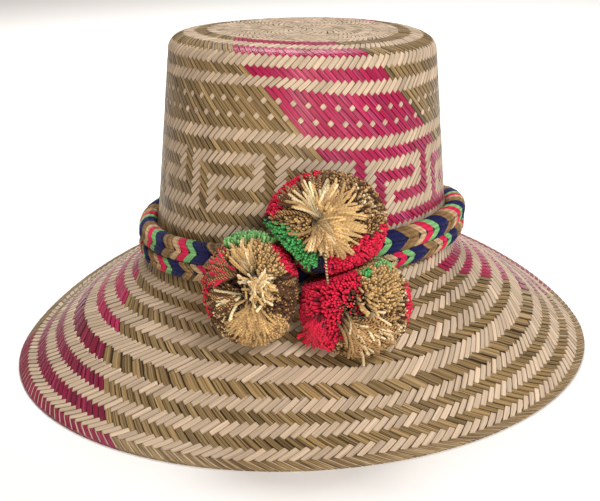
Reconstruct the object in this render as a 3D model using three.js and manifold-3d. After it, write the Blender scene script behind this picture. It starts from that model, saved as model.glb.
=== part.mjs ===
import * as THREE from 'three';
import { mergeVertices } from 'three/addons/utils/BufferGeometryUtils.js';
import Module from 'manifold-3d';

// A handwoven straw hat: a tall crown that leans a little to one side, a bell-shaped brim,
// a plaited yarn band round the foot of the crown and three yarn pompoms on its front.
// Millimetres, +Z up. The front of the hat faces -Y and its rim rests on z = 0.

// Crown and brim
const CROWN_FOOT_RADIUS = 93;
const CROWN_FOOT_HEIGHT = 70;
const CROWN_TOP_RADIUS = 82;
const CROWN_WALL_TOP = 187.5;
const CROWN_HEIGHT = 199;
const CROWN_DISC_RADIUS = 58.3;
const CROWN_DISC_DROP = 0.4;
const RIM_RADIUS = 184.5;
const STRAW_WALL = 2;

// The crown's axis leans towards +X, and its rings dip towards the same side, most at the front.
const CROWN_LEAN = 0.044;
const RING_DIP = 0.0004;
const RING_DIP_START = 40;
const RING_DIP_SIDE_SHARE = 0.72;

// At the back the brim is flatter, so that its rim rises off the floor.
const BACK_RISE = 33;
const BACK_RISE_POWER = 1.9;
const BACK_RISE_START = 98;

// Yarn band: it climbs towards +X, mostly at the front, and sits lower at the back.
const BAND_HEIGHT_AT_FRONT = 81.3;
const BAND_CLIMB = 5.5;
const BAND_CLIMB_FADE = 2.4;
const BAND_BACK_DROP = 8.5;
const BAND_RADIUS = 99.3;
const BAND_LOBES = 32;
const BAND_LOBE_DEPTH = 0.09;

// Pompoms
const LOCKS_PER_POMPOM = 32;
const LOCK_SIDES = 6;
const CORE_SHARE = 0.8;
const LOCK_ROOT = 0.42;
const LOCK_ROOT_RADIUS = 0.1;
const LOCK_TIP_RADIUS = 0.24;
const LOCK_SHOULDER = 0.92;
const LOCK_SHORTEST = 0.9;

// Spaces between touching pieces, and how finely the round shapes are cut
const REST_GAP = 0.4;
const HAT_SEGMENTS = 60;
const BAND_SEGMENTS = 96;

const wallSlope = (CROWN_FOOT_RADIUS - CROWN_TOP_RADIUS) / (CROWN_WALL_TOP - CROWN_FOOT_HEIGHT);

function wallRadius(height) {
  return CROWN_TOP_RADIUS + wallSlope * (CROWN_WALL_TOP - height);
}

// The outer surface from the middle of the crown's top to the rim: radius and height.
const outerProfile = [
  { r: 0, z: CROWN_HEIGHT },
  { r: CROWN_DISC_RADIUS, z: CROWN_HEIGHT - CROWN_DISC_DROP },
  { r: 72.5, z: 197 },
  { r: 78.8, z: 194.1 },
  { r: 81.2, z: 191.3 },
  { r: CROWN_TOP_RADIUS, z: CROWN_WALL_TOP },
  { r: wallRadius(135), z: 135 },
  { r: wallRadius(83), z: 83 },
  { r: CROWN_FOOT_RADIUS + 0.5, z: 76 },
  { r: 96, z: 68.5 },
  { r: 100, z: 61.5 },
  { r: 106, z: 54.5 },
  { r: 120, z: 45.5 },
  { r: 145, z: 28 },
  { r: 170, z: 8.4 },
  { r: RIM_RADIUS, z: 0 },
];

// The band's cross-section: how far each point lies outwards and upwards from its middle.
// Two rounded chains of plait lie one above the other, with a groove between them.
const bandSection = [
  { out: 3.6, up: 0 },
  { out: 5.2, up: 5.4 },
  { out: 3.4, up: 9.8 },
  { out: 0.6, up: 11.2 },
  { out: -2.4, up: 9.6 },
  { out: -3.6, up: 5.4 },
  { out: -3.6, up: 0 },
  { out: -3.6, up: -5.4 },
  { out: -2.4, up: -9.6 },
  { out: 0.6, up: -11.2 },
  { out: 3.4, up: -9.8 },
  { out: 5.2, up: -5.4 },
];

// Middle and half sizes of each pompom.
const pompoms = [
  { name: 'pompom_top', x: 16, y: -115.5, z: 109.5, wide: 34, deep: 27, tall: 29.5, seed: 11 },
  { name: 'pompom_left', x: -25, y: -125, z: 76.5, wide: 27, deep: 26, tall: 31, seed: 23 },
  { name: 'pompom_right', x: 30, y: -125, z: 66, wide: 31.5, deep: 26, tall: 30, seed: 37 },
];

// Moves a point of the upright, round hat to its place on the leaning one with the raised back.
function hatPlace(radius, angle, height) {
  const x = radius * Math.cos(angle);
  const y = radius * Math.sin(angle);
  const dipShare = RING_DIP_SIDE_SHARE - (1 - RING_DIP_SIDE_SHARE) * Math.sin(angle);
  const dip = RING_DIP * dipShare * Math.max(0, height - RING_DIP_START) * x;
  const backward = Math.max(0, Math.sin(angle)) ** BACK_RISE_POWER;
  const outward = THREE.MathUtils.clamp(
    THREE.MathUtils.inverseLerp(BACK_RISE_START, RIM_RADIUS, radius),
    0,
    1,
  );
  const rise = BACK_RISE * backward * outward;
  return new THREE.Vector3(x + CROWN_LEAN * height, y, height - dip + rise);
}

// Pushes a chain of profile points sideways, to the left of its direction.
function offsetProfile(profile, distance, closed) {
  const last = profile.length - 1;
  return profile.map((point, index) => {
    const before = profile[index > 0 ? index - 1 : (closed ? last : 0)];
    const after = profile[index < last ? index + 1 : (closed ? 0 : last)];
    const along = new THREE.Vector2(after.x - before.x, after.y - before.y).normalize();
    return new THREE.Vector2(point.x - along.y * distance, point.y + along.x * distance);
  });
}

function signedVolume(geometry) {
  const position = geometry.getAttribute('position');
  const index = geometry.getIndex();
  const a = new THREE.Vector3();
  const b = new THREE.Vector3();
  const c = new THREE.Vector3();
  let volume = 0;
  for (let i = 0; i < index.count; i += 3) {
    a.fromBufferAttribute(position, index.getX(i));
    b.fromBufferAttribute(position, index.getX(i + 1));
    c.fromBufferAttribute(position, index.getX(i + 2));
    volume += a.dot(b.cross(c)) / 6;
  }
  return volume;
}

// Keeps positions only, joins equal points, drops empty triangles and turns the faces outwards.
function closedShape(geometry) {
  const bare = geometry.clone();
  bare.deleteAttribute('normal');
  bare.deleteAttribute('uv');
  const merged = mergeVertices(bare, 1e-3);
  const source = Array.from(merged.getIndex().array);
  const kept = [];
  for (let i = 0; i < source.length; i += 3) {
    const [p, q, r] = source.slice(i, i + 3);
    if (p !== q && q !== r && r !== p) {
      kept.push(p, q, r);
    }
  }
  merged.setIndex(kept);
  if (signedVolume(merged) < 0) {
    for (let i = 0; i < kept.length; i += 3) {
      [kept[i + 1], kept[i + 2]] = [kept[i + 2], kept[i + 1]];
    }
    merged.setIndex(kept);
  }
  return merged;
}

// Turns a profile round the upright axis, then moves every point with the given function.
function revolve(profile, segments, place) {
  const geometry = new THREE.LatheGeometry(profile, segments);
  geometry.rotateX(Math.PI / 2);
  const position = geometry.getAttribute('position');
  for (let i = 0; i < position.count; i += 1) {
    const x = position.getX(i);
    const y = position.getY(i);
    const moved = place(Math.hypot(x, y), Math.atan2(y, x), position.getZ(i));
    position.setXYZ(i, moved.x, moved.y, moved.z);
  }
  return closedShape(geometry);
}

const outerLine = outerProfile.map((row) => new THREE.Vector2(row.r, row.z));

// Radius of the hat's outer surface at a height, before it leans.
function outerRadius(height) {
  for (let i = 1; i < outerProfile.length; i += 1) {
    const high = outerProfile[i - 1];
    const low = outerProfile[i];
    if (height <= high.z && height >= low.z) {
      return THREE.MathUtils.mapLinear(height, low.z, high.z, low.r, high.r);
    }
  }
  return 0;
}

// The straw wall: the outer line down to the rim, a flat rim, and the inner line back up.
function hatShape() {
  const innerLine = offsetProfile(outerLine, -STRAW_WALL, false);
  const foot = outerProfile[outerProfile.length - 1];
  const above = outerProfile[outerProfile.length - 2];
  const slope = Math.atan2(above.z - foot.z, foot.r - above.r);
  innerLine[innerLine.length - 1] = new THREE.Vector2(foot.r - STRAW_WALL / Math.sin(slope), 0);
  innerLine[0] = new THREE.Vector2(0, outerProfile[0].z - STRAW_WALL);
  return revolve([...outerLine, ...innerLine.reverse()], HAT_SEGMENTS, hatPlace);
}

// Everything under the hat's outer surface, grown by the gap that a piece resting on it keeps.
function hatKeepOut() {
  const grown = offsetProfile(outerLine, REST_GAP, false);
  grown[0].x = 0;
  const below = grown[grown.length - 1].clone().setY(-5);
  return revolve([...grown, below, new THREE.Vector2(0, -5)], HAT_SEGMENTS, hatPlace);
}

const bandLine = bandSection.map((row) => new THREE.Vector2(row.out, row.up));
const BAND_TURNING_RADIUS = 100;

// Height of the band's middle at an angle.
function bandHeight(angle) {
  const backShare = 0.5 * (1 + Math.sin(angle));
  const climb = BAND_CLIMB * Math.cos(angle) * (1 - BAND_CLIMB_FADE * backShare ** 3);
  return BAND_HEIGHT_AT_FRONT + climb - BAND_BACK_DROP * backShare;
}

// The band's inner side lies against the crown at every height.
function bandPlace(radius, angle, height) {
  const middle = bandHeight(angle);
  const out = radius - BAND_TURNING_RADIUS;
  const upper = height > 0 ? 1 : -1;
  const lobe = 1 + BAND_LOBE_DEPTH * Math.cos(BAND_LOBES * angle + upper * 0.25 * Math.PI);
  const against = outerRadius(middle + height) + REST_GAP;
  const placed = out > 0 ? Math.max(BAND_RADIUS + out * lobe, against + REST_GAP) : against;
  return hatPlace(placed, angle, middle + height);
}

function bandShape(grow) {
  const line = grow > 0 ? offsetProfile(bandLine, -grow, true) : bandLine;
  const ring = line.map((point) => new THREE.Vector2(point.x + BAND_TURNING_RADIUS, point.y));
  ring.push(ring[0].clone());
  return revolve(ring, BAND_SEGMENTS, bandPlace);
}

const wasm = await Module();
wasm.setup();

function toSolid(geometry) {
  const shape = closedShape(geometry);
  const mesh = new wasm.Mesh({
    numProp: 3,
    vertProperties: new Float32Array(shape.getAttribute('position').array),
    triVerts: new Uint32Array(shape.getIndex().array),
  });
  return new wasm.Manifold(mesh);
}

function toGeometry(solid) {
  const mesh = solid.getMesh();
  const geometry = new THREE.BufferGeometry();
  geometry.setAttribute('position', new THREE.BufferAttribute(new Float32Array(mesh.vertProperties), 3));
  geometry.setIndex(Array.from(mesh.triVerts));
  return geometry;
}

// A steady stream of numbers between 0 and 1, so every build is the same.
function numberStream(seed) {
  let state = seed;
  return () => {
    state = (state * 16807) % 2147483647;
    return state / 2147483647;
  };
}

// One lock of yarn along +Y: narrow at its root, widest near its end, with a low pointed tip.
function lockGeometry(length) {
  const profile = [
    new THREE.Vector2(0, LOCK_ROOT),
    new THREE.Vector2(LOCK_ROOT_RADIUS, LOCK_ROOT),
    new THREE.Vector2(LOCK_TIP_RADIUS, LOCK_SHOULDER * length),
    new THREE.Vector2(0, length),
  ];
  return new THREE.LatheGeometry(profile, LOCK_SIDES);
}

// Directions spread evenly over a ball.
function spreadDirection(index, count) {
  const up = 1 - (2 * (index + 0.5)) / count;
  const turn = index * Math.PI * (3 - Math.sqrt(5));
  const side = Math.sqrt(1 - up * up);
  return new THREE.Vector3(side * Math.cos(turn), side * Math.sin(turn), up);
}

// A ball of cut yarn: a round core with locks fused to it, of slightly different lengths.
function pompomBall({ x, y, z, wide, deep, tall, seed }) {
  const next = numberStream(seed);
  const toPlace = new THREE.Matrix4().makeTranslation(x, y, z);
  toPlace.multiply(new THREE.Matrix4().makeScale(wide, deep, tall));
  const core = new THREE.IcosahedronGeometry(CORE_SHARE, 2);
  core.applyMatrix4(toPlace);
  let ball = toSolid(core);
  for (let i = 0; i < LOCKS_PER_POMPOM; i += 1) {
    const length = LOCK_SHORTEST + (1 - LOCK_SHORTEST) * next();
    const lock = lockGeometry(length);
    lock.rotateY(next() * Math.PI);
    const turn = new THREE.Quaternion();
    turn.setFromUnitVectors(new THREE.Vector3(0, 1, 0), spreadDirection(i, LOCKS_PER_POMPOM));
    lock.applyQuaternion(turn);
    lock.applyMatrix4(toPlace);
    ball = ball.add(toSolid(lock));
  }
  return ball;
}

// Half the size of a pompom along a direction.
function reachAlong(pompom, direction) {
  const scaled = new THREE.Vector3(
    direction.x / pompom.wide,
    direction.y / pompom.deep,
    direction.z / pompom.tall,
  );
  return 1 / scaled.length();
}

// The block beyond the flat seam where one pompom presses against another.
function beyondSeam(pompom, neighbour) {
  const size = 200;
  const from = new THREE.Vector3(pompom.x, pompom.y, pompom.z);
  const to = new THREE.Vector3(neighbour.x, neighbour.y, neighbour.z);
  const apart = to.clone().sub(from);
  const direction = apart.clone().normalize();
  const own = reachAlong(pompom, direction);
  const other = reachAlong(neighbour, direction);
  const seam = (apart.length() * own) / (own + other) - 0.5 * REST_GAP;
  const block = new THREE.BoxGeometry(size, size, size);
  block.translate(0, 0, 0.5 * size + seam);
  block.applyQuaternion(new THREE.Quaternion().setFromUnitVectors(new THREE.Vector3(0, 0, 1), direction));
  block.translate(from.x, from.y, from.z);
  return toSolid(block);
}

const hatClearance = toSolid(hatKeepOut());
const bandClearance = toSolid(bandShape(REST_GAP));

function pompomShape(pompom) {
  let solid = pompomBall(pompom).subtract(hatClearance).subtract(bandClearance);
  for (const neighbour of pompoms) {
    if (neighbour !== pompom) {
      solid = solid.subtract(beyondSeam(pompom, neighbour));
    }
  }
  return toGeometry(solid);
}

function addPiece(group, name, geometry, material) {
  const mesh = new THREE.Mesh(geometry, material);
  mesh.name = name;
  group.add(mesh);
}

const straw = { color: 0xcdb489, roughness: 0.6, metalness: 0 };
const bandYarn = { color: 0x7a5a3c, roughness: 0.9, metalness: 0 };
const pompomYarn = { color: 0xb98f55, roughness: 0.95, metalness: 0 };

const group = new THREE.Group();
addPiece(group, 'woven_hat', hatShape(), new THREE.MeshStandardMaterial(straw));
addPiece(group, 'braid_band', bandShape(0), new THREE.MeshStandardMaterial(bandYarn));
for (const pompom of pompoms) {
  addPiece(group, pompom.name, pompomShape(pompom), new THREE.MeshStandardMaterial(pompomYarn));
}

export default group;
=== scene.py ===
# %% [markdown]
# # A handwoven straw hat with three pompoms
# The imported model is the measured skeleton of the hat: where its crown, brim, band and
# pompoms are, and how big. This lesson dresses it. Every straw of the weave, every yarn of
# the plaited band and every cut strand of the pompoms becomes real geometry, because at this
# size the eye reads their edges and shadows, and a painted pattern would look flat.

import math

import bmesh
import bpy
import numpy as np
from mathutils import Matrix, Vector


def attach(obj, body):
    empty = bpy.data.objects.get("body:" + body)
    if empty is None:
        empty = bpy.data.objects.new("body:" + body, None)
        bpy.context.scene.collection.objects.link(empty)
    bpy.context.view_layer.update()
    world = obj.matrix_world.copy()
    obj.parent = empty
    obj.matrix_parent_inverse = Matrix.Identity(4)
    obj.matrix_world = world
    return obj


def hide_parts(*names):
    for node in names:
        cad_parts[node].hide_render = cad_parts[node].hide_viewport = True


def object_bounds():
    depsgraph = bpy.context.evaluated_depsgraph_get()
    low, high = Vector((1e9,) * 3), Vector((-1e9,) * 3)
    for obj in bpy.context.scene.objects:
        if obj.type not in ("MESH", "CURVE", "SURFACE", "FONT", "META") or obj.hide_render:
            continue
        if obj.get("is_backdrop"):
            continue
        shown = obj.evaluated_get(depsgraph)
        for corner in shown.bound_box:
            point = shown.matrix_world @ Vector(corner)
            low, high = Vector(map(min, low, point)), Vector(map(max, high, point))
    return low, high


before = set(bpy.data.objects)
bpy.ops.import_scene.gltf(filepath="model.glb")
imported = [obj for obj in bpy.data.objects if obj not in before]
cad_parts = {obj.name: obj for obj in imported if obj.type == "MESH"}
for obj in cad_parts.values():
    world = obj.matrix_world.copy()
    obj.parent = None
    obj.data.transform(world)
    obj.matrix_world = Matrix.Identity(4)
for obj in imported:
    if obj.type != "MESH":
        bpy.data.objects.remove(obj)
cad_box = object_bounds()
MM = 0.001
print("CAD box", [[round(x, 4) for x in corner] for corner in cad_box])

# %% [markdown]
# ## The camera
# The camera comes first, so that each later step can be looked at from the photograph's
# place. It stands about 65 cm in front of the hat's middle, above the brim, and looks down a
# little. It is rolled by about two degrees, because the hat in the photograph leans to one
# side.

# %% Camera
CAMERA_PLACE = Vector((1.6, -654.6, 279.7)) * MM
CAMERA_PITCH = 0.33
CAMERA_ROLL = -0.0413
SENSOR_WIDTH = 36.0
FOCAL_PIXELS = 1058.0
PICTURE_WIDTH, PICTURE_HEIGHT = 600, 501

lens = bpy.data.cameras.new("camera")
lens.sensor_width = SENSOR_WIDTH
lens.lens = SENSOR_WIDTH * FOCAL_PIXELS / PICTURE_WIDTH
camera = bpy.data.objects.new("camera", lens)
turn = Matrix.Rotation(math.pi / 2 - CAMERA_PITCH, 4, "X") @ Matrix.Rotation(CAMERA_ROLL, 4, "Z")
camera.matrix_world = Matrix.Translation(CAMERA_PLACE) @ turn
bpy.context.scene.collection.objects.link(camera)
bpy.context.scene.camera = camera
print("camera lens", round(lens.lens, 1), "mm")

# %% [markdown]
# ## The line of the hat
# The whole hat is one line turned round an upright axis: domed top, rounded corner, tall
# wall, a hollow at its foot and a straight sloping brim. The same points shape the packed
# model. They are few, so the line is rounded here by cutting its corners three times, which
# gives a smooth curve that never swings out past the points.

# %% Outer line of the hat, rounded
OUTER_POINTS = np.array([
    (0, 199), (45, 198.9), (58.3, 198.6), (65.5, 197.8), (72.5, 197), (76.5, 195.5),
    (78.8, 194.1), (81.2, 191.3), (82, 187.5), (86.92, 135), (91.78, 83), (93.5, 76),
    (96, 68.5), (100, 61.5), (106, 54.5), (120, 45.5), (145, 28), (170, 8.4), (183.6, 1.9),
])


def cut_corners(points, rounds):
    for _ in range(rounds):
        first, second = points[:-1], points[1:]
        pair = [0.75 * first + 0.25 * second, 0.25 * first + 0.75 * second]
        points = np.vstack([points[:1], np.stack(pair, 1).reshape(-1, 2), points[-1:]])
    return points


line = cut_corners(OUTER_POINTS, 3)
line_length = np.concatenate([[0], np.cumsum(np.hypot(*np.diff(line, axis=0).T))])
tangent = np.gradient(line, line_length, axis=0)
tangent /= np.linalg.norm(tangent, axis=1)[:, None]
line_normal = np.stack([-tangent[:, 1], tangent[:, 0]], 1)
print("the line is", round(line_length[-1], 1), "mm long in", len(line), "points")

# %% [markdown]
# A real hat isn't a perfect turned shape. The crown leans to one side, its rings dip that
# way too, and at the back the brim is flatter, so its rim rises off the floor. One function
# puts every point of every straw in its place, so all of them bend the same way. Angles are
# in degrees from the front of the hat, positive to the viewer's right.

# %% From the round hat to the leaning one
CROWN_LEAN = 0.044
RING_DIP, RING_DIP_START, RING_DIP_SIDE_SHARE = 0.0004, 40.0, 0.72
BACK_RISE, BACK_RISE_POWER = 33.0, 1.9
BACK_RISE_START, RIM_RADIUS = 98.0, 184.5


def place(radius, angle, height):
    """Points in metres, from radius and height in mm and angle in degrees."""
    side, back = np.sin(np.radians(angle)), -np.cos(np.radians(angle))
    x, y = radius * side, radius * back
    dip_share = RING_DIP_SIDE_SHARE - (1 - RING_DIP_SIDE_SHARE) * back
    dip = RING_DIP * dip_share * np.maximum(0, height - RING_DIP_START) * x
    outward = np.clip((radius - BACK_RISE_START) / (RIM_RADIUS - BACK_RISE_START), 0, 1)
    rise = BACK_RISE * np.maximum(0, back) ** BACK_RISE_POWER * outward
    return np.stack([x + CROWN_LEAN * height, y, height - dip + rise], -1) * MM


def on_line(along):
    """Radius and height of the outer line, and of its normal, at a distance along it."""
    return [np.interp(along, line_length, values) for values in (*line.T, *line_normal.T)]


def on_hat(along, angle, out):
    """A point at a distance along the outer line, and out from it, both in mm."""
    r, z, nr, nz = on_line(along)
    return place(r + nr * out, angle, z + nz * out)


def along_at_radius(radius):
    return np.interp(radius, line[:, 0], line_length)


def along_at_height(height):
    return np.interp(-np.asarray(height, float), -line[:, 1], line_length)


print("the wall's foot is", round(float(along_at_height(76)), 1), "mm along the line")

# %% [markdown]
# ## Materials: dried straw
# A straw is a flattened stem. Up close it has fine streaks along its length, a soft gloss,
# and each one is a slightly different tone. Its light streaks are partly a painted sheen, and
# its edges carry painted shade for the grooves between straws. The streaks need to follow the
# straw wherever it bends, so they read a UV map that runs along it and across it. The effect is
# a node group, because pale, olive and magenta straw share it and differ only in colour.

# %% Helpers for node materials


def linear(red, green, blue):
    """A screen colour from 0 to 255 as the linear colour that shaders work in."""
    values = []
    for channel in (red, green, blue):
        share = channel / 255
        values.append(share / 12.92 if share <= 0.04045 else ((share + 0.055) / 1.055) ** 2.4)
    return (*values, 1.0)


def new_group(name, inputs, outputs):
    group = bpy.data.node_groups.new(name, "ShaderNodeTree")
    for kind, label, default in inputs:
        socket = group.interface.new_socket(name=label, in_out="INPUT", socket_type=kind)
        socket.default_value = default
    for kind, label in outputs:
        group.interface.new_socket(name=label, in_out="OUTPUT", socket_type=kind)
    return group, group.nodes.new("NodeGroupInput"), group.nodes.new("NodeGroupOutput")


def add(tree, kind, inputs=None, **settings):
    """A new node; inputs gives each input a socket of another node, or a value."""
    node = tree.nodes.new(kind)
    for key, value in settings.items():
        setattr(node, key, value)
    for key, value in (inputs or {}).items():
        if isinstance(value, bpy.types.NodeSocket):
            tree.links.new(value, node.inputs[key])
        else:
            node.inputs[key].default_value = value
    return node


MIX_FACTOR, MIX_FIRST, MIX_SECOND, MIX_RESULT = 0, 6, 7, 2


def blend_colours(tree, factor, first, second, blend_type="MIX"):
    inputs = {MIX_FACTOR: factor, MIX_FIRST: first, MIX_SECOND: second}
    node = add(tree, "ShaderNodeMix", inputs, data_type="RGBA", blend_type=blend_type)
    return node.outputs[MIX_RESULT]


def math_node(tree, operation, first, second=0.0):
    return add(tree, "ShaderNodeMath", {0: first, 1: second}, operation=operation).outputs[0]


def remap(tree, value, low, high, new_low=0.0, new_high=1.0):
    """A value between low and high, moved to lie between the new ends."""
    ends = {"From Min": low, "From Max": high, "To Min": new_low, "To Max": new_high}
    return add(tree, "ShaderNodeMapRange", {"Value": value, **ends}).outputs[0]


def drawn_out_noise(tree, uv, scale, detail, roughness=0.5, shift=(0.0, 0.0, 0.0)):
    """Noise that runs along a strip: its scale is small along it and large across it."""
    mapped = add(tree, "ShaderNodeMapping", {"Vector": uv, "Location": shift, "Scale": scale})
    inputs = {"Vector": mapped.outputs[0], "Scale": 1.0, "Detail": detail, "Roughness": roughness}
    return add(tree, "ShaderNodeTexNoise", inputs).outputs["Fac"]


print("helpers ready")

# %% The straw group: streaks, tone and a raised grain
FLOAT, COLOUR = "NodeSocketFloat", "NodeSocketColor"
straw_group, ins, outs = new_group(
    "straw grain",
    [(COLOUR, "Colour", (0.5, 0.4, 0.2, 1)), (COLOUR, "Dark colour", (0.2, 0.1, 0.05, 1)),
     (COLOUR, "Light streak and sheen colour", (0.8, 0.7, 0.5, 1)), (FLOAT, "Dark streaks", 0.5),
     (FLOAT, "Light streaks and sheen", 0.3), (FLOAT, "Edge shade", 0.4), (FLOAT, "Gloss", 0.4)],
    [(COLOUR, "Colour"), (FLOAT, "Roughness"), (FLOAT, "Height")],
)
straw_uv = add(straw_group, "ShaderNodeUVMap", uv_map="StrawUV").outputs[0]
fine = drawn_out_noise(straw_group, straw_uv, (0.06, 6.0, 1.0), 4.0, 0.6)
broad = drawn_out_noise(straw_group, straw_uv, (0.03, 1.4, 1.0), 2.0)
thin = drawn_out_noise(straw_group, straw_uv, (0.05, 3.6, 1.0), 3.0, shift=(40.0, 3.3, 0.0))
tone = add(straw_group, "ShaderNodeAttribute", attribute_name="Tone").outputs["Fac"]
across = add(straw_group, "ShaderNodeSeparateXYZ", {0: straw_uv}).outputs[1]
across = math_node(straw_group, "SUBTRACT", math_node(straw_group, "FRACT", across), 0.5)
across = math_node(straw_group, "ABSOLUTE", across)

streak = math_node(straw_group, "MULTIPLY", remap(straw_group, fine, 0.45, 0.62),
                   ins.outputs["Dark streaks"])
# Light streaks: the straw's own paler fibres, and partly a painted sheen.
light_streak_and_sheen = math_node(straw_group, "MULTIPLY", remap(straw_group, thin, 0.56, 0.68),
                  ins.outputs["Light streaks and sheen"])
# Painted shade along each straw's edges, for the dark grooves where straws meet.
edge = math_node(straw_group, "MULTIPLY", remap(straw_group, across, 0.38, 0.47),
                 ins.outputs["Edge shade"])
streaked = blend_colours(straw_group, streak, ins.outputs["Colour"], ins.outputs["Dark colour"])
streaked = blend_colours(straw_group, light_streak_and_sheen, streaked, ins.outputs["Light streak and sheen colour"])
tone_and_edge_shade = math_node(straw_group, "MULTIPLY", tone,
                       remap(straw_group, broad, 0.3, 0.7, 0.82, 1.12))
tone_and_edge_shade = math_node(straw_group, "MULTIPLY", tone_and_edge_shade,
                       math_node(straw_group, "SUBTRACT", 1.0, edge))
toned = blend_colours(straw_group, 1.0, streaked, tone_and_edge_shade, "MULTIPLY")
rough = math_node(straw_group, "ADD", ins.outputs["Gloss"],
                  remap(straw_group, fine, 0.3, 0.7, -0.08, 0.14))
straw_group.links.new(toned, outs.inputs["Colour"])
straw_group.links.new(rough, outs.inputs["Roughness"])
straw_group.links.new(fine, outs.inputs["Height"])
print("group", straw_group.name, "with", len(straw_group.nodes), "nodes")

# %% Pale, olive and magenta straw
BUMP_DISTANCE = 0.0003
STRAW_COAT_ROUGHNESS = 0.22


def group_material(name, group, group_inputs, bump, shader_inputs):
    """A material that takes its colour, roughness and height from a node group."""
    material = bpy.data.materials.new(name)
    material.use_nodes = True
    tree = material.node_tree
    shader = tree.nodes["Principled BSDF"]
    effect = add(tree, "ShaderNodeGroup", group_inputs, node_tree=group)
    raised = add(tree, "ShaderNodeBump", {"Height": effect.outputs["Height"], "Strength": bump,
                                          "Distance": BUMP_DISTANCE})
    tree.links.new(effect.outputs["Colour"], shader.inputs["Base Color"])
    tree.links.new(effect.outputs["Roughness"], shader.inputs["Roughness"])
    tree.links.new(raised.outputs[0], shader.inputs["Normal"])
    for key, value in shader_inputs.items():
        shader.inputs[key].default_value = value
    return material


def straw_material(name, colours, dark, light, edge_shade, gloss, bump, coat, specular):
    """colours: the straw's own, its dark streaks' and its light streaks', which are partly a painted
    sheen.
    """
    inputs = dict(zip(("Colour", "Dark colour", "Light streak and sheen colour"), [linear(*c) for c in colours]))
    inputs |= {"Dark streaks": dark, "Light streaks and sheen": light, "Edge shade": edge_shade,
               "Gloss": gloss}
    surface = {"Coat Weight": coat, "Coat Roughness": STRAW_COAT_ROUGHNESS,
               "Specular IOR Level": specular}
    return group_material(name, straw_group, inputs, bump, surface)


# The light colours and light streaks are partly a painted sheen: silvery pink on magenta, golden on
# olive.
pale_straw = straw_material("pale straw", [(200, 180, 157), (138, 102, 70), (226, 211, 190)],
                            0.36, 0.25, 0.24, 0.50, 0.5, 0.0, 0.16)
olive_straw = straw_material("olive straw", [(152, 126, 86), (48, 33, 17), (208, 182, 138)],
                             0.90, 0.50, 0.55, 0.38, 0.8, 0.08, 0.25)
magenta_straw = straw_material("magenta straw", [(168, 18, 72), (98, 6, 42), (226, 128, 180)],
                               0.46, 0.50, 0.34, 0.30, 0.9, 0.14, 0.3)
# The shaded straw is straw coloured dark: painted shade for the slots between straws.
shaded_straw = straw_material("shaded straw", [(58, 42, 27), (30, 21, 13), (70, 52, 34)],
                              0.6, 0.0, 0.0, 0.7, 0.3, 0.0, 0.2)
print("straws:", pale_straw.name, olive_straw.name, magenta_straw.name, shaded_straw.name)

# %% [markdown]
# ## The inner layer of the weave
# Between the straws on the outside and those on the inside lies a middle layer, coloured
# dark as painted shade, which only shows as thin lines where straws part. It could be left out,
# but then light would leak through every slot. So a thin shell is spun from the hat's own
# line: a bmesh takes a closed chain of edges, `spin` turns it round the axis, and the points
# that meet are merged.

# %% Spin the middle shell
SHEET_MIDDLE = -1.0
SHELL_HALF = 0.35
RIM_FOLD_RADIUS = 1.0
SPIN_STEPS = 96
SHELL_STOPS, CORNER_STOPS = 48, 10
CORNER_START_RADIUS, CORNER_END_HEIGHT = 60, 184
SHELL_UV_SCALE = 300
RIM_ALONG = float(line_length[-1])


def object_from_bmesh(bm, name, materials):
    mesh = bpy.data.meshes.new(name)
    bm.to_mesh(mesh)
    bm.free()
    return object_from_mesh(mesh, name, materials)


def object_from_mesh(mesh, name, materials, smooth=True):
    for material in materials:
        mesh.materials.append(material)
    mesh.polygons.foreach_set("use_smooth", np.full(len(mesh.polygons), smooth))
    mesh.update()
    obj = bpy.data.objects.new(name, mesh)
    bpy.context.scene.collection.objects.link(obj)
    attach(obj, "root")
    return obj


def spin_line(points, steps):
    """A turned shape from (radius, height) points. It is closed, because the chain of points
    starts and ends on the axis, or ends where it started."""
    bm = bmesh.new()
    verts = [bm.verts.new((float(r), 0, float(z))) for r, z in points]
    edges = [bm.edges.new(pair) for pair in zip(verts[:-1], verts[1:])]
    bmesh.ops.spin(bm, geom=verts + edges, cent=(0, 0, 0), axis=(0, 0, 1),
                   angle=2 * math.pi, steps=steps, use_merge=True)
    bmesh.ops.remove_doubles(bm, verts=bm.verts, dist=1e-4)
    bmesh.ops.recalc_face_normals(bm, faces=bm.faces)
    return bm


def round_places(mesh):
    """Radius, angle in degrees and height of each point of a turned shape."""
    co = np.empty(len(mesh.vertices) * 3, np.float32)
    mesh.vertices.foreach_get("co", co)
    x, y, z = co.reshape(-1, 3).astype(float).T
    return np.hypot(x, y), np.degrees(np.arctan2(x, -y)), z


def beside_line(along, out):
    """Radius and height of places at some distances along the outer line and out from it."""
    moved = (line + out * line_normal).T
    return np.stack([np.interp(along, line_length, values) for values in moved], -1)


stops = np.unique(np.concatenate([
    np.linspace(0, line_length[-1], SHELL_STOPS)[:-1],
    np.linspace(along_at_radius(CORNER_START_RADIUS), along_at_height(CORNER_END_HEIGHT),
                CORNER_STOPS),
]))
stops = np.append(stops[stops < RIM_ALONG - 1], RIM_ALONG)
upper = beside_line(stops, SHEET_MIDDLE + SHELL_HALF)
lower = beside_line(stops, SHEET_MIDDLE - SHELL_HALF)[::-1]
upper[0, 0] = lower[-1, 0] = 0
shell_bm = spin_line(np.vstack([upper, lower]), SPIN_STEPS)
shell = object_from_bmesh(shell_bm, "straw_middle", [shaded_straw])
placed = place(*round_places(shell.data))
shell.data.vertices.foreach_set("co", placed.astype(np.float32).ravel())
corner_vertex = np.empty(len(shell.data.loops), np.int32)
shell.data.loops.foreach_get("vertex_index", corner_vertex)
shell_uv = placed[corner_vertex][:, [2, 0]] * SHELL_UV_SCALE
shell.data.uv_layers.new(name="StrawUV").data.foreach_set("uv", shell_uv.ravel())
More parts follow.
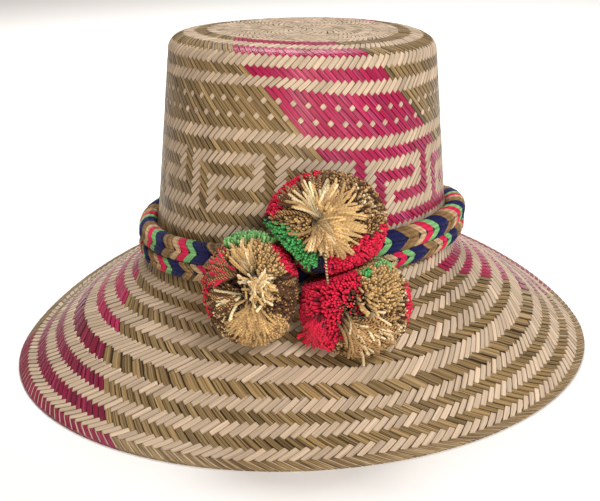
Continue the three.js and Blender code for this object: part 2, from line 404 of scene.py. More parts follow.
shell_tone = shell.data.attributes.new("Tone", "FLOAT", "POINT")
shell_tone.data.foreach_set("value", np.ones(len(placed), np.float32))
shell.data.update()
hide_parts("woven_hat")
print("shell", len(shell.data.polygons), "faces; rim at", round(RIM_ALONG, 1), "mm")

# %% [markdown]
# ## How the weave is charted
# The hat is a twill: two families of straws cross at a slant. The pale family rises to the
# right, the coloured family falls to the right. Cell by cell, one of the two lies on top,
# and it usually stays on top for three cells, which gives the long slanted dashes. A woven
# pattern is therefore a chart of yes and no, just as in a weaver's head. `row` counts rows
# downwards and `column` counts half cells round the hat.
#
# The bands on the crown, its dotted band and its stepped fret are charted here as a few
# rules. The fret is a traditional one: a hook repeated round the crown.

# %% The chart of the crown and upper brim
DARK_BANDS = [(-12, -9), (-6, -3), (0, 3), (20, 23), (38, 41), (44, 47), (50, 53),
              (56, 59), (62, 65), (68, 71), (74, 77)]
DOT_BAND = (6, 17)
DOT_ROWS = {9: 1, 13: 3}
DOT_SPACING = 4
FRET_TOP, FRET_STEPS = 23, 5
FRET_LIMB = 3
FRET_WIDTHS = [26, 24] + [23] * 8 + [22]
FRET_START = -30
MAIN_STRAWS = 128


def in_bands(row, bands):
    inside = np.zeros(row.shape, bool)
    for first, last in bands:
        inside |= (row >= first) & (row < last)
    return inside


def fret_is_dark(step, across, width):
    """One hook of the fret, five steps high; across counts from its left side."""
    left = across < FRET_LIMB
    before_right = across < width - FRET_LIMB
    upright = before_right & (across >= width - 2 * FRET_LIMB)
    rules = [
        upright,
        (across < width - 3 * FRET_LIMB) | upright,
        left | upright,
        left | (before_right & (across >= 2 * FRET_LIMB)),
        left,
    ]
    return rules[step]


def main_chart(row, column):
    """True where the coloured straw lies on top."""
    column = (column - FRET_START) % (2 * MAIN_STRAWS) + FRET_START
    row, column = np.broadcast_arrays(row, column)
    dark = in_bands(row, DARK_BANDS + [DOT_BAND])
    for dot_row, phase in DOT_ROWS.items():
        dark &= ~((row == dot_row) & (column % DOT_SPACING == phase))
    start = FRET_START
    for width in FRET_WIDTHS:
        for step in range(FRET_STEPS):
            top = FRET_TOP + FRET_LIMB * step
            here = in_bands(row, [(top, top + FRET_LIMB)]) & in_bands(column, [(start, start + width)])
            dark |= here & fret_is_dark(step, column - start, width)
        start += width
    return dark


def banded_chart(*bands):
    def chart(row, column):
        return in_bands(np.broadcast_arrays(row, column)[0], bands)
    return chart


print("dark share of the crown chart",
      round(float(main_chart(np.arange(50)[:, None], np.arange(2 * MAIN_STRAWS)).mean()), 2))

# %% [markdown]
# The number of straws grows from the middle of the top to the rim, because new ones are
# laid in as the hat widens. So the hat is a set of zones, each with its own number of straws
# and its own rows. Each zone says where its rows lie on the hat's line. Magenta straws run
# in two groups, about a sixth of all straws each, and wind down the hat like two ribbons.

# %% The zones
MAIN_ROWS_ON_TOP = [(-12, 58.3), (-9, 65.5), (-6, 72.5), (-3, 78.8)]
MAIN_ROWS_ON_WALL = [(0, 187.85), (20, 144.1), (41, 97.0), (50, 76.8)]
MAIN_ROWS_ON_BRIM = [(56, 98), (59, 102), (62, 105.5), (65, 109.5), (68, 114.5), (71, 120.5),
                     (74, 127.5), (77, 133)]
RIM_ROWS = [(0, 149), (3, 155.5), (6, 160.5), (9, 166.5), (12, 172), (15, 177.5)]


def radius_knots(pairs):
    """Rows and how far along the hat's line they lie, from rows and radii."""
    return [(row, float(along_at_radius(r))) for row, r in pairs]


def new_zone(name, straws, knots, chart, magenta=(), all_pale=False):
    rows = (knots[0][0], knots[-1][0])
    return dict(name=name, straws=straws, rows=rows, knots=knots, chart=chart, magenta=magenta,
                all_pale=all_pale)


main_knots = radius_knots(MAIN_ROWS_ON_TOP)
main_knots += [(row, float(along_at_height(height))) for row, height in MAIN_ROWS_ON_WALL]
main_knots += radius_knots(MAIN_ROWS_ON_BRIM)
ZONES = [
    new_zone("top_1", 16, radius_knots([(0, 1.8), (3, 12)]), banded_chart((0, 1)), all_pale=True),
    new_zone("top_2", 32, radius_knots([(0, 12), (6, 27)]), banded_chart((0, 3)), all_pale=True),
    new_zone("top_3", 64, radius_knots([(0, 27), (9, 43)]), banded_chart((0, 3), (6, 9)),
             all_pale=True),
    new_zone("top_4", 96, radius_knots([(0, 43), (9, 58.3)]), banded_chart((3, 6)), all_pale=True),
    new_zone("main", MAIN_STRAWS, main_knots, main_chart, [(-8, 11), (51, 70)]),
    new_zone("brim_1", 192, radius_knots([(0, 133), (5, 141.5)]), banded_chart(),
             [(38, 67), (-60, -31)]),
    new_zone("brim_2", 96, radius_knots([(0, 141.5), (2, 149)]), banded_chart((0, 2)),
             [(23, 37), (-29, -15)]),
    new_zone("brim_3", 192, radius_knots(RIM_ROWS), banded_chart((3, 6), (9, 12)),
             [(47, 76), (-56, -27)]),
]
ZONE_NAMED = {zone["name"]: zone for zone in ZONES}
print(len(ZONES), "zones,", sum(z["straws"] * (z["rows"][1] - z["rows"][0]) for z in ZONES),
      "cells")

# %% [markdown]
# ## One straw, and thousands of copies
# Each visible dash is a flat strip, a little narrower on top, that dives under its
# neighbours at both ends. The strip starts as a cube from a bmesh operator: its long edges
# are subdivided into stations, and its upper edges are pulled in. That template is then laid
# along every run of the chart with arrays, and all copies are joined in one mesh.

# %% The strip template


def template_arrays(bm):
    """A small bmesh as arrays: points, corner vertices and where each face starts."""
    bm.verts.index_update()
    points = np.array([v.co for v in bm.verts])
    faces = [[v.index for v in face.verts] for face in bm.faces]
    bm.free()
    corners = np.concatenate(faces)
    starts = np.cumsum([0] + [len(face) for face in faces[:-1]])
    return points, corners, starts


STRIP_TOP_SHARE = 0.93


def strip_template(stations):
    """A box along +X from 0 to 1, +Y across, +Z up from 0 to 1, narrower on top."""
    bm = bmesh.new()
    bmesh.ops.create_cube(bm, size=1.0)
    bmesh.ops.translate(bm, vec=(0.5, 0, 0.5), verts=bm.verts)
    long_edges = [e for e in bm.edges if abs(e.verts[0].co.x - e.verts[1].co.x) > 0.5]
    bmesh.ops.subdivide_edges(bm, edges=long_edges, cuts=stations - 2)
    for vert in bm.verts:
        vert.co.y *= STRIP_TOP_SHARE if vert.co.z > 0.5 else 1.0
    bmesh.ops.recalc_face_normals(bm, faces=bm.faces)
    return template_arrays(bm)


INNER_STATIONS, SHORT_STATIONS, LONG_STATIONS = 4, 5, 8
STRIPS = {count: strip_template(count) for count in (INNER_STATIONS, SHORT_STATIONS, LONG_STATIONS)}
print("points of a strip, by its stations:", {key: len(value[0]) for key, value in STRIPS.items()})

# %% Join many copies of templates in one mesh


def joined_mesh(name, batches, attribute_names):
    """Each batch: template, points (copies, points, 3), uv (copies, points, 2), material
    number for each copy, and a dict of attributes for each copy and point."""
    mesh = bpy.data.meshes.new(name)
    co, corners, starts, uvs, numbers = [], [], [], [], []
    values = {key: [] for key in attribute_names}
    vertex_base = corner_base = 0
    for (points, face_corners, face_starts), where, uv, number, extra in batches:
        copies, size = where.shape[:2]
        each = np.arange(copies)[:, None]
        co.append(where.reshape(-1, 3))
        corners.append((face_corners[None] + size * each).ravel() + vertex_base)
        starts.append((face_starts[None] + len(face_corners) * each).ravel() + corner_base)
        uvs.append(uv[:, face_corners].reshape(-1, 2))
        numbers.append(np.repeat(number, len(face_starts)))
        for key in attribute_names:
            values[key].append(extra[key].reshape(copies * size, -1))
        vertex_base += copies * size
        corner_base += copies * len(face_corners)
    mesh.vertices.add(vertex_base)
    mesh.vertices.foreach_set("co", np.concatenate(co).astype(np.float32).ravel())
    mesh.loops.add(corner_base)
    mesh.loops.foreach_set("vertex_index", np.concatenate(corners).astype(np.int32))
    all_starts = np.concatenate(starts).astype(np.int32)
    mesh.polygons.add(len(all_starts))
    mesh.polygons.foreach_set("loop_start", all_starts)
    mesh.polygons.foreach_set("material_index", np.concatenate(numbers).astype(np.int32))
    mesh.update(calc_edges=True)
    layer = mesh.uv_layers.new(name="StrawUV")
    layer.data.foreach_set("uv", np.concatenate(uvs).astype(np.float32).ravel())
    for key in attribute_names:
        data = np.concatenate(values[key]).astype(np.float32)
        if data.shape[1] == 1:
            attribute = mesh.attributes.new(key, "FLOAT", "POINT")
            attribute.data.foreach_set("value", data.ravel())
        else:
            attribute = mesh.attributes.new(key, "FLOAT_COLOR", "POINT")
            attribute.data.foreach_set("color", data.ravel())
    return mesh


print("joining is ready")

# %% [markdown]
# Runs are found straw by straw: the chart is read along each straw, and wherever it comes
# on top, a run starts, and it ends where it dives. On the inside of the hat the same chart
# holds the other way round, since a straw that isn't outside is inside.

# %% Find the runs of each straw
rng = np.random.default_rng(7)
PALE, OLIVE, MAGENTA = 0, 1, 2


def runs_of(zone, family, outside):
    """Straw number, first row and number of cells of each run on top."""
    rows = np.arange(*zone["rows"])
    straw = np.arange(zone["straws"])[:, None]
    column = 2 * straw - rows if family == "pale" else 2 * straw + rows
    dark = zone["chart"](rows[None], column)
    shown = ~dark if family == "pale" else dark
    if not outside:
        shown = ~shown
    edge = np.diff(np.pad(shown, ((0, 0), (1, 1))).astype(int), axis=1)
    straw_number, first = np.nonzero(edge == 1)
    last = np.nonzero(edge == -1)[1]
    return straw_number, first + rows[0], last - first


def straw_kind(zone, family, straw_number):
    kind = np.full(len(straw_number), PALE)
    if family == "dark" and not zone["all_pale"]:
        kind[:] = OLIVE
        for first, last in zone["magenta"]:
            inside = (straw_number - first) % zone["straws"] <= last - first
            kind[inside] = MAGENTA
    return kind


def row_to_along(zone, row):
    """Distance along the line at a row; rows past the zone's ends go on straight."""
    rows, along = np.array(zone["knots"]).T
    inside = np.interp(row, rows, along)
    first = (along[1] - along[0]) / (rows[1] - rows[0])
    last = (along[-1] - along[-2]) / (rows[-1] - rows[-2])
    return inside + np.minimum(row - rows[0], 0) * first + np.maximum(row - rows[-1], 0) * last


counts = [len(runs_of(z, f, True)[0]) for z in ZONES for f in ("pale", "dark")]
print("runs outside:", sum(counts))

# %% [markdown]
# On a hat made by hand the rows aren't level: they wander up and down by a straw's width.
# A small table says how far the rows lie off, in mm along the hat's line, at a few places
# round the hat and down its line. Between them the shift changes evenly.

# %% How far the rows wander
WANDER_ANGLES = [-180, -100, -65, -45, -25, -10, 0, 12, 28, 42, 60, 80, 110, 180]
WANDER = [
    (60, [0, 0, 0, 0, 0, 0, 0, 0, 0, 0, 0, 0, 0, 0]),
    (85, [0, 0.8, 0.8, 0.8, 0.8, 0.8, 0.8, 0.8, 0.8, 0.8, 0.8, 0.8, 0.8, 0]),
    (100, [0, 0.5, -0.8, -1.4, -2.4, -2.4, -0.5, 1.3, 2.6, 2.5, 1.2, 1.5, 1.2, 0]),
    (150, [0, -0.6, -1.6, -1.3, -2.6, -2.7, -0.8, 1.5, 2.6, 2.5, 0.7, 0.6, 0, 0]),
    (180, [0, -0.8, 0.2, 0, -1.5, -1.6, -0.3, 0.8, 1.6, 1.5, 1.3, 3.0, 2.8, 0]),
    (225, [0, 0, 1.0, 0.6, 0.4, 0.3, 1.0, 2.4, 3.4, 3.1, 2.2, 1.2, -0.4, 0]),
    (246, [0, -0.3, 2.3, 1.2, 0.7, 0.9, 1.6, 3.8, 5.6, 5.8, 5.0, 3.6, 0, 0]),
    (265, [0, -1.0, 0.6, 0.4, 0.7, 0.9, 1.9, 4.6, 5.6, 5.3, 4.0, 2.4, 0, 0]),
    (285, [0, -0.5, -0.5, -0.2, -0.1, 0.5, 1.0, 2.3, 4.2, 3.2, 2.3, 0.8, 0, 0]),
    (304, [0, -1.0, 1.4, 1.6, 1.0, 1.9, 1.1, 1.0, 2.7, 3.1, 2.5, 1.0, 0, 0]),
    (311, [0, -0.5, 1.7, 2.0, 1.4, 2.4, 1.6, 1.6, 3.2, 3.6, 3.0, 1.2, 0, 0]),
    (318, [0, 0, 0, 0, 0, 0, 0, 0, 0, 0, 0, 0, 0, 0]),
]


def wander(along, angle):
    """How far a point of the weave is shifted down the line, in mm."""
    along, angle = np.broadcast_arrays(along, (angle + 180) % 360 - 180)
    stops_down = np.array([row[0] for row in WANDER], float)
    level = np.array([np.interp(angle, WANDER_ANGLES, row[1]) for row in WANDER])
    place_down = np.interp(along, stops_down, np.arange(len(stops_down)))
    low = np.minimum(place_down.astype(int), len(stops_down) - 2)
    share = place_down - low
    above = np.take_along_axis(level, low[None], 0)[0]
    below = np.take_along_axis(level, low[None] + 1, 0)[0]
    return above * (1 - share) + below * share


print("rows wander by at most", max(max(map(abs, row[1])) for row in WANDER), "mm")

# %% [markdown]
# Each strip then gets its own small faults: its ends, its height, its tilt and its tone
# differ a little from its neighbours'. The straws lie close in front, with narrower ends at
# each dive, and at the sides of the hat the gaps between them are wider.

# %% Shape a batch of strips
FLOAT_TOP, FLOAT_THICKNESS, FLOAT_SUNK = 0.95, 0.45, 0.20
END_GAP, TOP_END_GAP, DIVE = 0.07, 0.10, 0.18
END_SPREAD, LIFT_SPREAD, TILT_SPREAD, ROLL_SPREAD = 0.05, 0.04, 0.05, 0.10
STRAW_SHARE, TOP_STRAW_SHARE, WIDEST_STRAW, WIDTH_SPREAD = 0.99, 0.92, 1.01, 0.03
SIDE_GAP, SIDE_GAP_START, SIDE_GAP_FADE = 0.09, 22, 30
END_TAPER = (0.84, 0.98)
SHIFT_SPREAD, STRIP_TONE_SPREAD = 0.012, 0.07
UV_ROOM, UV_STRAW_STEP = 500, 7.0


def strip_stations(zone, cells, stations):
    """How far along its run each station lies, in cells, and how far out its top is, in mm."""
    count = len(cells)
    end_gap = TOP_END_GAP if zone["all_pale"] else END_GAP
    inner = np.linspace(0, 1, stations - 2)[None] * (cells - 2 * end_gap) + end_gap
    along = np.concatenate([np.full((count, 1), -DIVE), inner, cells + DIVE], 1)
    along[:, :2] += rng.uniform(-END_SPREAD, END_SPREAD, (count, 1))
    along[:, -2:] += rng.uniform(-END_SPREAD, END_SPREAD, (count, 1))
    top = np.full((count, stations), FLOAT_TOP) + rng.normal(0, LIFT_SPREAD, (count, 1))
    top = top + rng.normal(0, TILT_SPREAD, (count, 1)) * np.linspace(-1, 1, stations)
    top[:, 0] = top[:, -1] = FLOAT_SUNK
    return along, top


def strip_sides(zone, angle, side, station, stations):
    """How far each point lies to the side of its straw's middle, in half columns."""
    aside = np.abs((angle + 180) % 360 - 180)
    share = TOP_STRAW_SHARE if zone["all_pale"] else STRAW_SHARE
    share = share - SIDE_GAP * np.clip((aside - SIDE_GAP_START) / SIDE_GAP_FADE, 0, 1)
    share = np.minimum(share + rng.normal(0, WIDTH_SPREAD, angle.shape), WIDEST_STRAW)
    near_end = (stations > INNER_STATIONS) & ((station < 2) | (station > stations - 3))
    return share * side * np.where(near_end, rng.uniform(*END_TAPER, angle.shape), 1.0)


def strip_batch(zone, family, outside, stations, runs, straw_tone):
    """Strips with the same number of stations, along runs of straw, first row and cells."""
    template = STRIPS[stations]
    length_share, side, upward = template[0].T
    station = np.rint(length_share * (stations - 1)).astype(int)
    number, row, cells = (values[:, None] for values in runs)
    slant = -1 if family == "pale" else 1
    angle = (2 * number + (row + cells / 2) * slant) * 180.0 / zone["straws"]
    run, top = (values[:, station] for values in strip_stations(zone, cells, stations))
    width = strip_sides(zone, angle, side, station, stations)
    top = top + rng.normal(0, ROLL_SPREAD, cells.shape) * side
    shift = rng.normal(0, SHIFT_SPREAD, cells.shape)
    across = slant * (1 if outside else -1) * width + shift
    if family == "pale":
        i, j = number + across, number - row - cells + 0.5 + run
    else:
        i, j = number + row - 0.5 + run, number + across
    along = row_to_along(zone, i - j + 0.5)
    angle = (i + j) * 180.0 / zone["straws"]
    along = along + wander(along, angle)
    out = top - FLOAT_THICKNESS * (1 - upward)
    where = on_hat(along, angle, SHEET_MIDDLE + (out if outside else -out))
    length = np.linalg.norm(where[:, 0] - where[:, -1], axis=1) / MM
    u = length_share * length[:, None] + rng.uniform(0, UV_ROOM, cells.shape)
    v = side + 0.5 + number * UV_STRAW_STEP
    tone = straw_tone[runs[0]] * rng.normal(1, STRIP_TONE_SPREAD, len(cells))
    return template, where, np.stack([u, v], -1), {"Tone": np.repeat(tone[:, None], len(side), 1)}


print("strips are", FLOAT_THICKNESS, "mm thick")

# %% Lay strips along the runs
STRAWS = [pale_straw, olive_straw, magenta_straw]
TONE_SPREAD = np.array([0.05, 0.16, 0.09])
# Magenta straws on the brim and at the rim are darkened: painted shade for the grazing light on the
# brim.
BRIM_MAGENTA_SHADE = 0.58
LONGEST_FLAT_RUN = 4
CORNER_ROWS = 3
CROWN_ROWS, BRIM_ROWS = (-12, 50), (50, 77)


def lay_strips(zone, family, outside, rows_wanted):
    """Batches of strips for one zone, one family of straws and one side of the hat."""
    straw, first, cells = runs_of(zone, family, outside)
    if rows_wanted is not None:
        wanted = (first >= rows_wanted[0]) & (first < rows_wanted[1])
        straw, first, cells = straw[wanted], first[wanted], cells[wanted]
    kinds = straw_kind(zone, family, np.arange(zone["straws"]))
    straw_tone = 1 + rng.normal(0, 1, zone["straws"]) * TONE_SPREAD[kinds]
    if zone["name"].startswith("brim"):
        straw_tone[kinds == MAGENTA] *= BRIM_MAGENTA_SHADE
    bends = cells > LONGEST_FLAT_RUN
    if zone["name"] == "main":
        bends |= first < CORNER_ROWS
    few = SHORT_STATIONS if outside else INNER_STATIONS
    batches = []
    for stations, pick in ((few, ~bends), (LONG_STATIONS, bends)):
        if pick.any():
            runs = (straw[pick], first[pick], cells[pick])
            template, where, uv, values = strip_batch(
                zone, family, outside, stations, runs, straw_tone)
            batches.append((template, where, uv, kinds[runs[0]], values))
    return batches


def weave_piece(name, outside, parts):
    batches = []
    for zone_name, rows_wanted in parts:
        for family in ("pale", "dark"):
            batches += lay_strips(ZONE_NAMED[zone_name], family, outside, rows_wanted)
    obj = object_from_mesh(joined_mesh(name, batches, ["Tone"]), name, STRAWS, smooth=False)
    print(name, sum(len(b[1]) for b in batches), "strips")


crown_parts = [("top_1", None), ("top_2", None), ("top_3", None), ("top_4", None),
               ("main", CROWN_ROWS)]
brim_parts = [("main", BRIM_ROWS), ("brim_1", None), ("brim_2", None), ("brim_3", None)]
weave_piece("crown_weave", True, crown_parts)
weave_piece("brim_weave", True, brim_parts)
weave_piece("crown_lining", False, crown_parts)
weave_piece("brim_underside", False, brim_parts)

# %% [markdown]
# ## The rim
# At the rim each coloured straw is folded back under the brim, so the edge shows a row of
# slanted wraps with a thin pale line between them. Each wrap is one long strip with many
# stations, laid along a line that runs down the brim, round the edge and back inside.

# %% Wrap the rim
RIM_ZONE = ZONE_NAMED["brim_3"]
RIM_STRAWS = RIM_ZONE["straws"]
RIM_FIRST_ROW, RIM_START = RIM_ZONE["knots"][-1]
RIM_STRAIGHT = RIM_ALONG - RIM_START
RIM_BEND = math.pi * RIM_FOLD_RADIUS
WRAP_STATIONS = 10
WRAP_STRIP = strip_template(WRAP_STATIONS)
WRAP_LEAD, WRAP_EXTRA = 0.9, 1.4
WRAP_ROWS = 3.0
WRAP_LIFT_SPREAD, WRAP_TONE_SPREAD = 0.03, 0.08
WRAP_UV_LENGTH, WRAP_UV_STEP = 18, 31.0


def rim_point(run, angle, out):
    """run is the way from the start of the rim over its edge and back inside, in mm."""
    turn_share = np.clip((run - RIM_STRAIGHT) / RIM_BEND, 0, 1) * math.pi
    back = np.maximum(run - RIM_STRAIGHT - RIM_BEND, 0)
    outside = run < RIM_STRAIGHT
    along = np.where(outside, RIM_START + run, RIM_ALONG - back)
    along = along + wander(along, angle) * outside
    r, z, nr, nz = on_line(along)
    middle_r, middle_z = r + SHEET_MIDDLE * nr, z + SHEET_MIDDLE * nz
    tr, tz = nz, -nr
    radius = middle_r + out * (nr * np.cos(turn_share) + tr * np.sin(turn_share))
    height = middle_z + out * (nz * np.cos(turn_share) + tz * np.sin(turn_share))
    return place(radius, angle, height)


def rim_batch(offset, share, top, thickness, kind):
    """One wrap for each straw; offset moves the wraps by a share of a straw."""
    station, side, upward = WRAP_STRIP[0].T[:, None]
    straw = np.arange(RIM_STRAWS)[:, None]
    run = -WRAP_LEAD + station * (2 * RIM_STRAIGHT + RIM_BEND + WRAP_EXTRA)
    row = RIM_FIRST_ROW - 0.5 + WRAP_ROWS * run / RIM_STRAIGHT
    column = 2 * (straw + offset) + row
    width = (share + rng.normal(0, WIDTH_SPREAD, straw.shape)) * 2 * side
    angle = (column + width) * (180.0 / RIM_STRAWS)
    ends = np.clip(np.minimum(station, 1 - station) * (WRAP_STATIONS - 1), 0, 1)
    height = FLOAT_SUNK + (top - FLOAT_SUNK) * ends + rng.normal(0, WRAP_LIFT_SPREAD, straw.shape)
    where = rim_point(run + np.zeros_like(angle), angle, height - thickness * (1 - upward))
    u = station * WRAP_UV_LENGTH + straw * WRAP_UV_STEP
    uv = np.stack([u, side + 0.5 + straw * UV_STRAW_STEP], -1)
    tone = rng.normal(1, WRAP_TONE_SPREAD, RIM_STRAWS)
    # Folded magenta wraps get the brim's painted shade too.
    tone = tone * np.where(kind == MAGENTA, BRIM_MAGENTA_SHADE, 1.0)
    return WRAP_STRIP, where, uv, kind, {"Tone": np.repeat(tone[:, None], uv.shape[1], 1)}


folded_kind = straw_kind(RIM_ZONE, "dark", np.arange(RIM_STRAWS))
rim_batches = [
    rim_batch(0.0, 0.80, 1.0, 0.5, folded_kind),
    rim_batch(0.5, 0.30, 0.72, 0.35, np.full(RIM_STRAWS, PALE)),
]
rim = object_from_mesh(joined_mesh("rim_wraps", rim_batches, ["Tone"]), "rim_wraps", STRAWS,
                       smooth=False)
print("rim wraps", len(rim.data.polygons), "faces")

# %% [markdown]
# ## Materials: yarn
# The band and the pompoms are acrylic yarn: soft, matt, with a slight sheen at the sides of
# each strand and a twist that shows as fine slanted ridges. The yarn's colour is written in
# an attribute for each strand, so one material serves all colours, and strands get darker
# towards their roots, where little light reaches.

# %% The yarn group and material
yarn_group, ins, outs = new_group(
    "yarn twist",
    [(FLOAT, "Twist", 1.0), (FLOAT, "Shade", 0.35)],
    [(COLOUR, "Colour"), (FLOAT, "Roughness"), (FLOAT, "Height")],
)
yarn_uv = add(yarn_group, "ShaderNodeUVMap", uv_map="StrawUV").outputs[0]
split = add(yarn_group, "ShaderNodeSeparateXYZ", {0: yarn_uv})
slant = math_node(yarn_group, "MULTIPLY", split.outputs[1], 2.0)
turns = math_node(yarn_group, "MULTIPLY", split.outputs[0], ins.outputs["Twist"])
wave = math_node(yarn_group, "MULTIPLY", math_node(yarn_group, "ADD", slant, turns), math.pi)
wave = math_node(yarn_group, "MULTIPLY", math_node(yarn_group, "SINE", wave), 0.5)
wave = math_node(yarn_group, "ADD", wave, 0.5)
hair = drawn_out_noise(yarn_group, yarn_uv, (1.5, 9.0, 1.0), 3.0)
dye = add(yarn_group, "ShaderNodeAttribute", attribute_name="Dye").outputs["Color"]
ply = add(yarn_group, "ShaderNodeAttribute", attribute_name="Ply").outputs["Color"]
dye = blend_colours(yarn_group, remap(yarn_group, wave, 0.4, 0.6), dye, ply)
# Painted shade in the grooves of the twist.
shade = math_node(yarn_group, "SUBTRACT", 1.0, wave)
shade = math_node(yarn_group, "MULTIPLY", shade, ins.outputs["Shade"])
shade = math_node(yarn_group, "MULTIPLY", math_node(yarn_group, "SUBTRACT", 1.0, shade),
                  remap(yarn_group, hair, 0.3, 0.7, 0.8, 1.15))
height = math_node(yarn_group, "ADD", wave, math_node(yarn_group, "MULTIPLY", hair, 0.5))
dyed = blend_colours(yarn_group, 1.0, dye, shade, "MULTIPLY")
yarn_group.links.new(dyed, outs.inputs["Colour"])
yarn_group.links.new(remap(yarn_group, hair, 0.0, 1.0, 0.72, 0.95), outs.inputs["Roughness"])
yarn_group.links.new(height, outs.inputs["Height"])

YARN_SURFACE = {"Sheen Weight": 0.08, "Sheen Roughness": 0.5, "Specular IOR Level": 0.25}
band_yarn = group_material("band yarn", yarn_group, {"Twist": 0.55, "Shade": 0.30}, 0.6,
                           YARN_SURFACE)
pompom_yarn = group_material("pompom yarn", yarn_group, {"Twist": 1.1, "Shade": 0.30}, 0.5,
                             YARN_SURFACE)
print("yarns:", band_yarn.name, pompom_yarn.name)

# %% [markdown]
# ## A strand of yarn
# Every strand, in the band and in the pompoms, is a thin tube along a short path. The
# template is a bmesh cone of equal radii, cut into stations. Arrays then move each ring of
# its points to the path's place there, square to the path's direction.

# %% The strand template


def tube_template(sides, stations):
    """A tube along +Z: height is the station's number, radius 1."""
    bm = bmesh.new()
    bmesh.ops.create_cone(bm, cap_ends=True, cap_tris=False, segments=sides,
                          radius1=1.0, radius2=1.0, depth=stations - 1.0)
    bmesh.ops.translate(bm, vec=(0, 0, (stations - 1) / 2), verts=bm.verts)
    upright = [e for e in bm.edges if abs(e.verts[0].co.z - e.verts[1].co.z) > 0.5]
    if stations > 2:
        bmesh.ops.subdivide_edges(bm, edges=upright, cuts=stations - 2)
    bmesh.ops.recalc_face_normals(bm, faces=bm.faces)
    return template_arrays(bm)


# A direction that no strand follows, to find the ways across a strand.
ODD_DIRECTION = np.array([0.31, 0.17, 0.93])


def strands(template, paths, radii, dyes, plies, shade=None):
    """paths (strands, stations, 3) in mm, radii (strands, stations), and the colours of
    both plies (strands, 3), times shade (stations): painted shade towards the root and a
    painted highlight at the tip."""
    points = template[0]
    station = np.rint(points[:, 2]).astype(int)
    forward = np.gradient(paths, axis=1)
    forward /= np.linalg.norm(forward, axis=2)[..., None] + 1e-9
    side = np.cross(forward, ODD_DIRECTION)
    side /= np.linalg.norm(side, axis=2)[..., None] + 1e-9
    other = np.cross(forward, side)
    ring = (points[None, :, :1] * side[:, station] + points[None, :, 1:2] * other[:, station])
    where = (paths[:, station] + ring * radii[:, station, None]) * MM
    step = np.linalg.norm(np.diff(paths, axis=1), axis=2)
    run = np.concatenate([np.zeros((len(paths), 1)), np.cumsum(step, 1)], 1)
    turn_share = np.arctan2(points[:, 1], points[:, 0]) / (2 * math.pi) + 0.5
    uv = np.stack([run[:, station], np.broadcast_to(turn_share, run[:, station].shape)], -1)
    colours = {}
    for key, colour in (("Dye", dyes), ("Ply", plies)):
        colour = np.repeat(colour[:, None], len(points), 1)
        if shade is not None:
            colour = colour * np.asarray(shade)[station][None, :, None]
        colours[key] = np.concatenate([colour, np.ones(colour.shape[:2] + (1,))], -1)
    return (template, where, uv, np.zeros(len(paths), int), colours)


def dye_colours(screen_colours):
    """Named screen colours as arrays of three linear values."""
    return {name: np.array(linear(*colour)[:3]) for name, colour in screen_colours.items()}


YARN_COLOURS = dye_colours({
    "navy": (22, 26, 86), "khaki": (146, 114, 74), "tan": (206, 174, 134),
    "red": (222, 32, 84), "green": (132, 194, 126),
})
print("yarn colours:", ", ".join(YARN_COLOURS))

# %% [markdown]
# ## The plaited band
# The band is two chains of plait, one above the other, like two rows of knitted stitches
# lying on their side. Each stitch is a V whose arms run forward to a tip that lies over the
# next stitch. An arm is a bundle of four to eight yarns. Five colours follow each
# other: navy, khaki, tan, red and green. The band climbs a little to one side.

# %% Where the band lies
BAND_MIDDLE = 81.3
BAND_CLIMB, BAND_CLIMB_FADE, BAND_BACK_DROP = 5.5, 2.4, 8.5
BAND_RADIUS = 99.3
BAND_SECTION = np.array([(3.6, 0), (5.2, 5.4), (3.4, 9.8), (0.6, 11.2), (-2.4, 9.6), (-3.6, 5.4),
                         (-3.6, 0), (-3.6, -5.4), (-2.4, -9.6), (0.6, -11.2), (3.4, -9.8),
                         (5.2, -5.4)])
REST_GAP, YARN_ROOM = 0.4, 0.5


def outer_radius(height):
    """Radius of the hat's outer surface at a height, before it leans."""
    return np.interp(-np.asarray(height, float), -OUTER_POINTS[:, 1], OUTER_POINTS[:, 0])


def band_height(angle):
    back_share = 0.5 * (1 - np.cos(np.radians(angle)))
    climb = BAND_CLIMB * np.sin(np.radians(angle)) * (1 - BAND_CLIMB_FADE * back_share ** 3)
    return BAND_MIDDLE + climb - BAND_BACK_DROP * back_share


def band_point(angle, out, up):
    """A point of the band in mm: out and up from the middle of its section."""
    middle = band_height(angle)
    against = outer_radius(middle + up) + REST_GAP + YARN_ROOM
    return place(np.maximum(BAND_RADIUS + out, against), angle, middle + up) / MM


front_point = band_point(*np.zeros((3, 1)))[0]
print("band radius at the front", round(float(np.hypot(*front_point[:2])), 1))

# %% Plait the band
PERIOD = [("navy", 6.0, 7), ("khaki", 5.6, 8), ("tan", 3.3, 4), ("red", 3.7, 5),
          ("green", 3.32, 4)]
PERIOD_ANGLE = sum(row[1] for row in PERIOD)
UPPER_NAVY, LOWER_NAVY = 30.5, 40.5
YARN_SPREAD = {"navy": 0.10, "khaki": 0.22, "tan": 0.10, "red": 0.06, "green": 0.05}
ARM_STATIONS = 9
YARN_RADIUS = 0.58
PERIODS = 16
FRONT_HALF = 90.0
NAVY_TO_START = 3.0
BUNDLE_ROUND, BUNDLE_LIFT, BUNDLE_SPREAD, BUNDLE_GAP = 0.18, 0.25, 0.12, 0.4
YARN_OUT_SPREAD, YARN_ALONG_SPREAD = 0.07, 0.05
LEAN_MIDDLE, LEAN_CHANGE = 1.05, 0.35
ARM_TAPER = np.array([0.75, 0.9, 1.0, 1.06, 1.06, 1.05, 1.0, 0.85, 0.6])
YARN_THICKNESS = np.array([0.9, 1, 1, 1, 1, 1, 1, 1, 0.7])
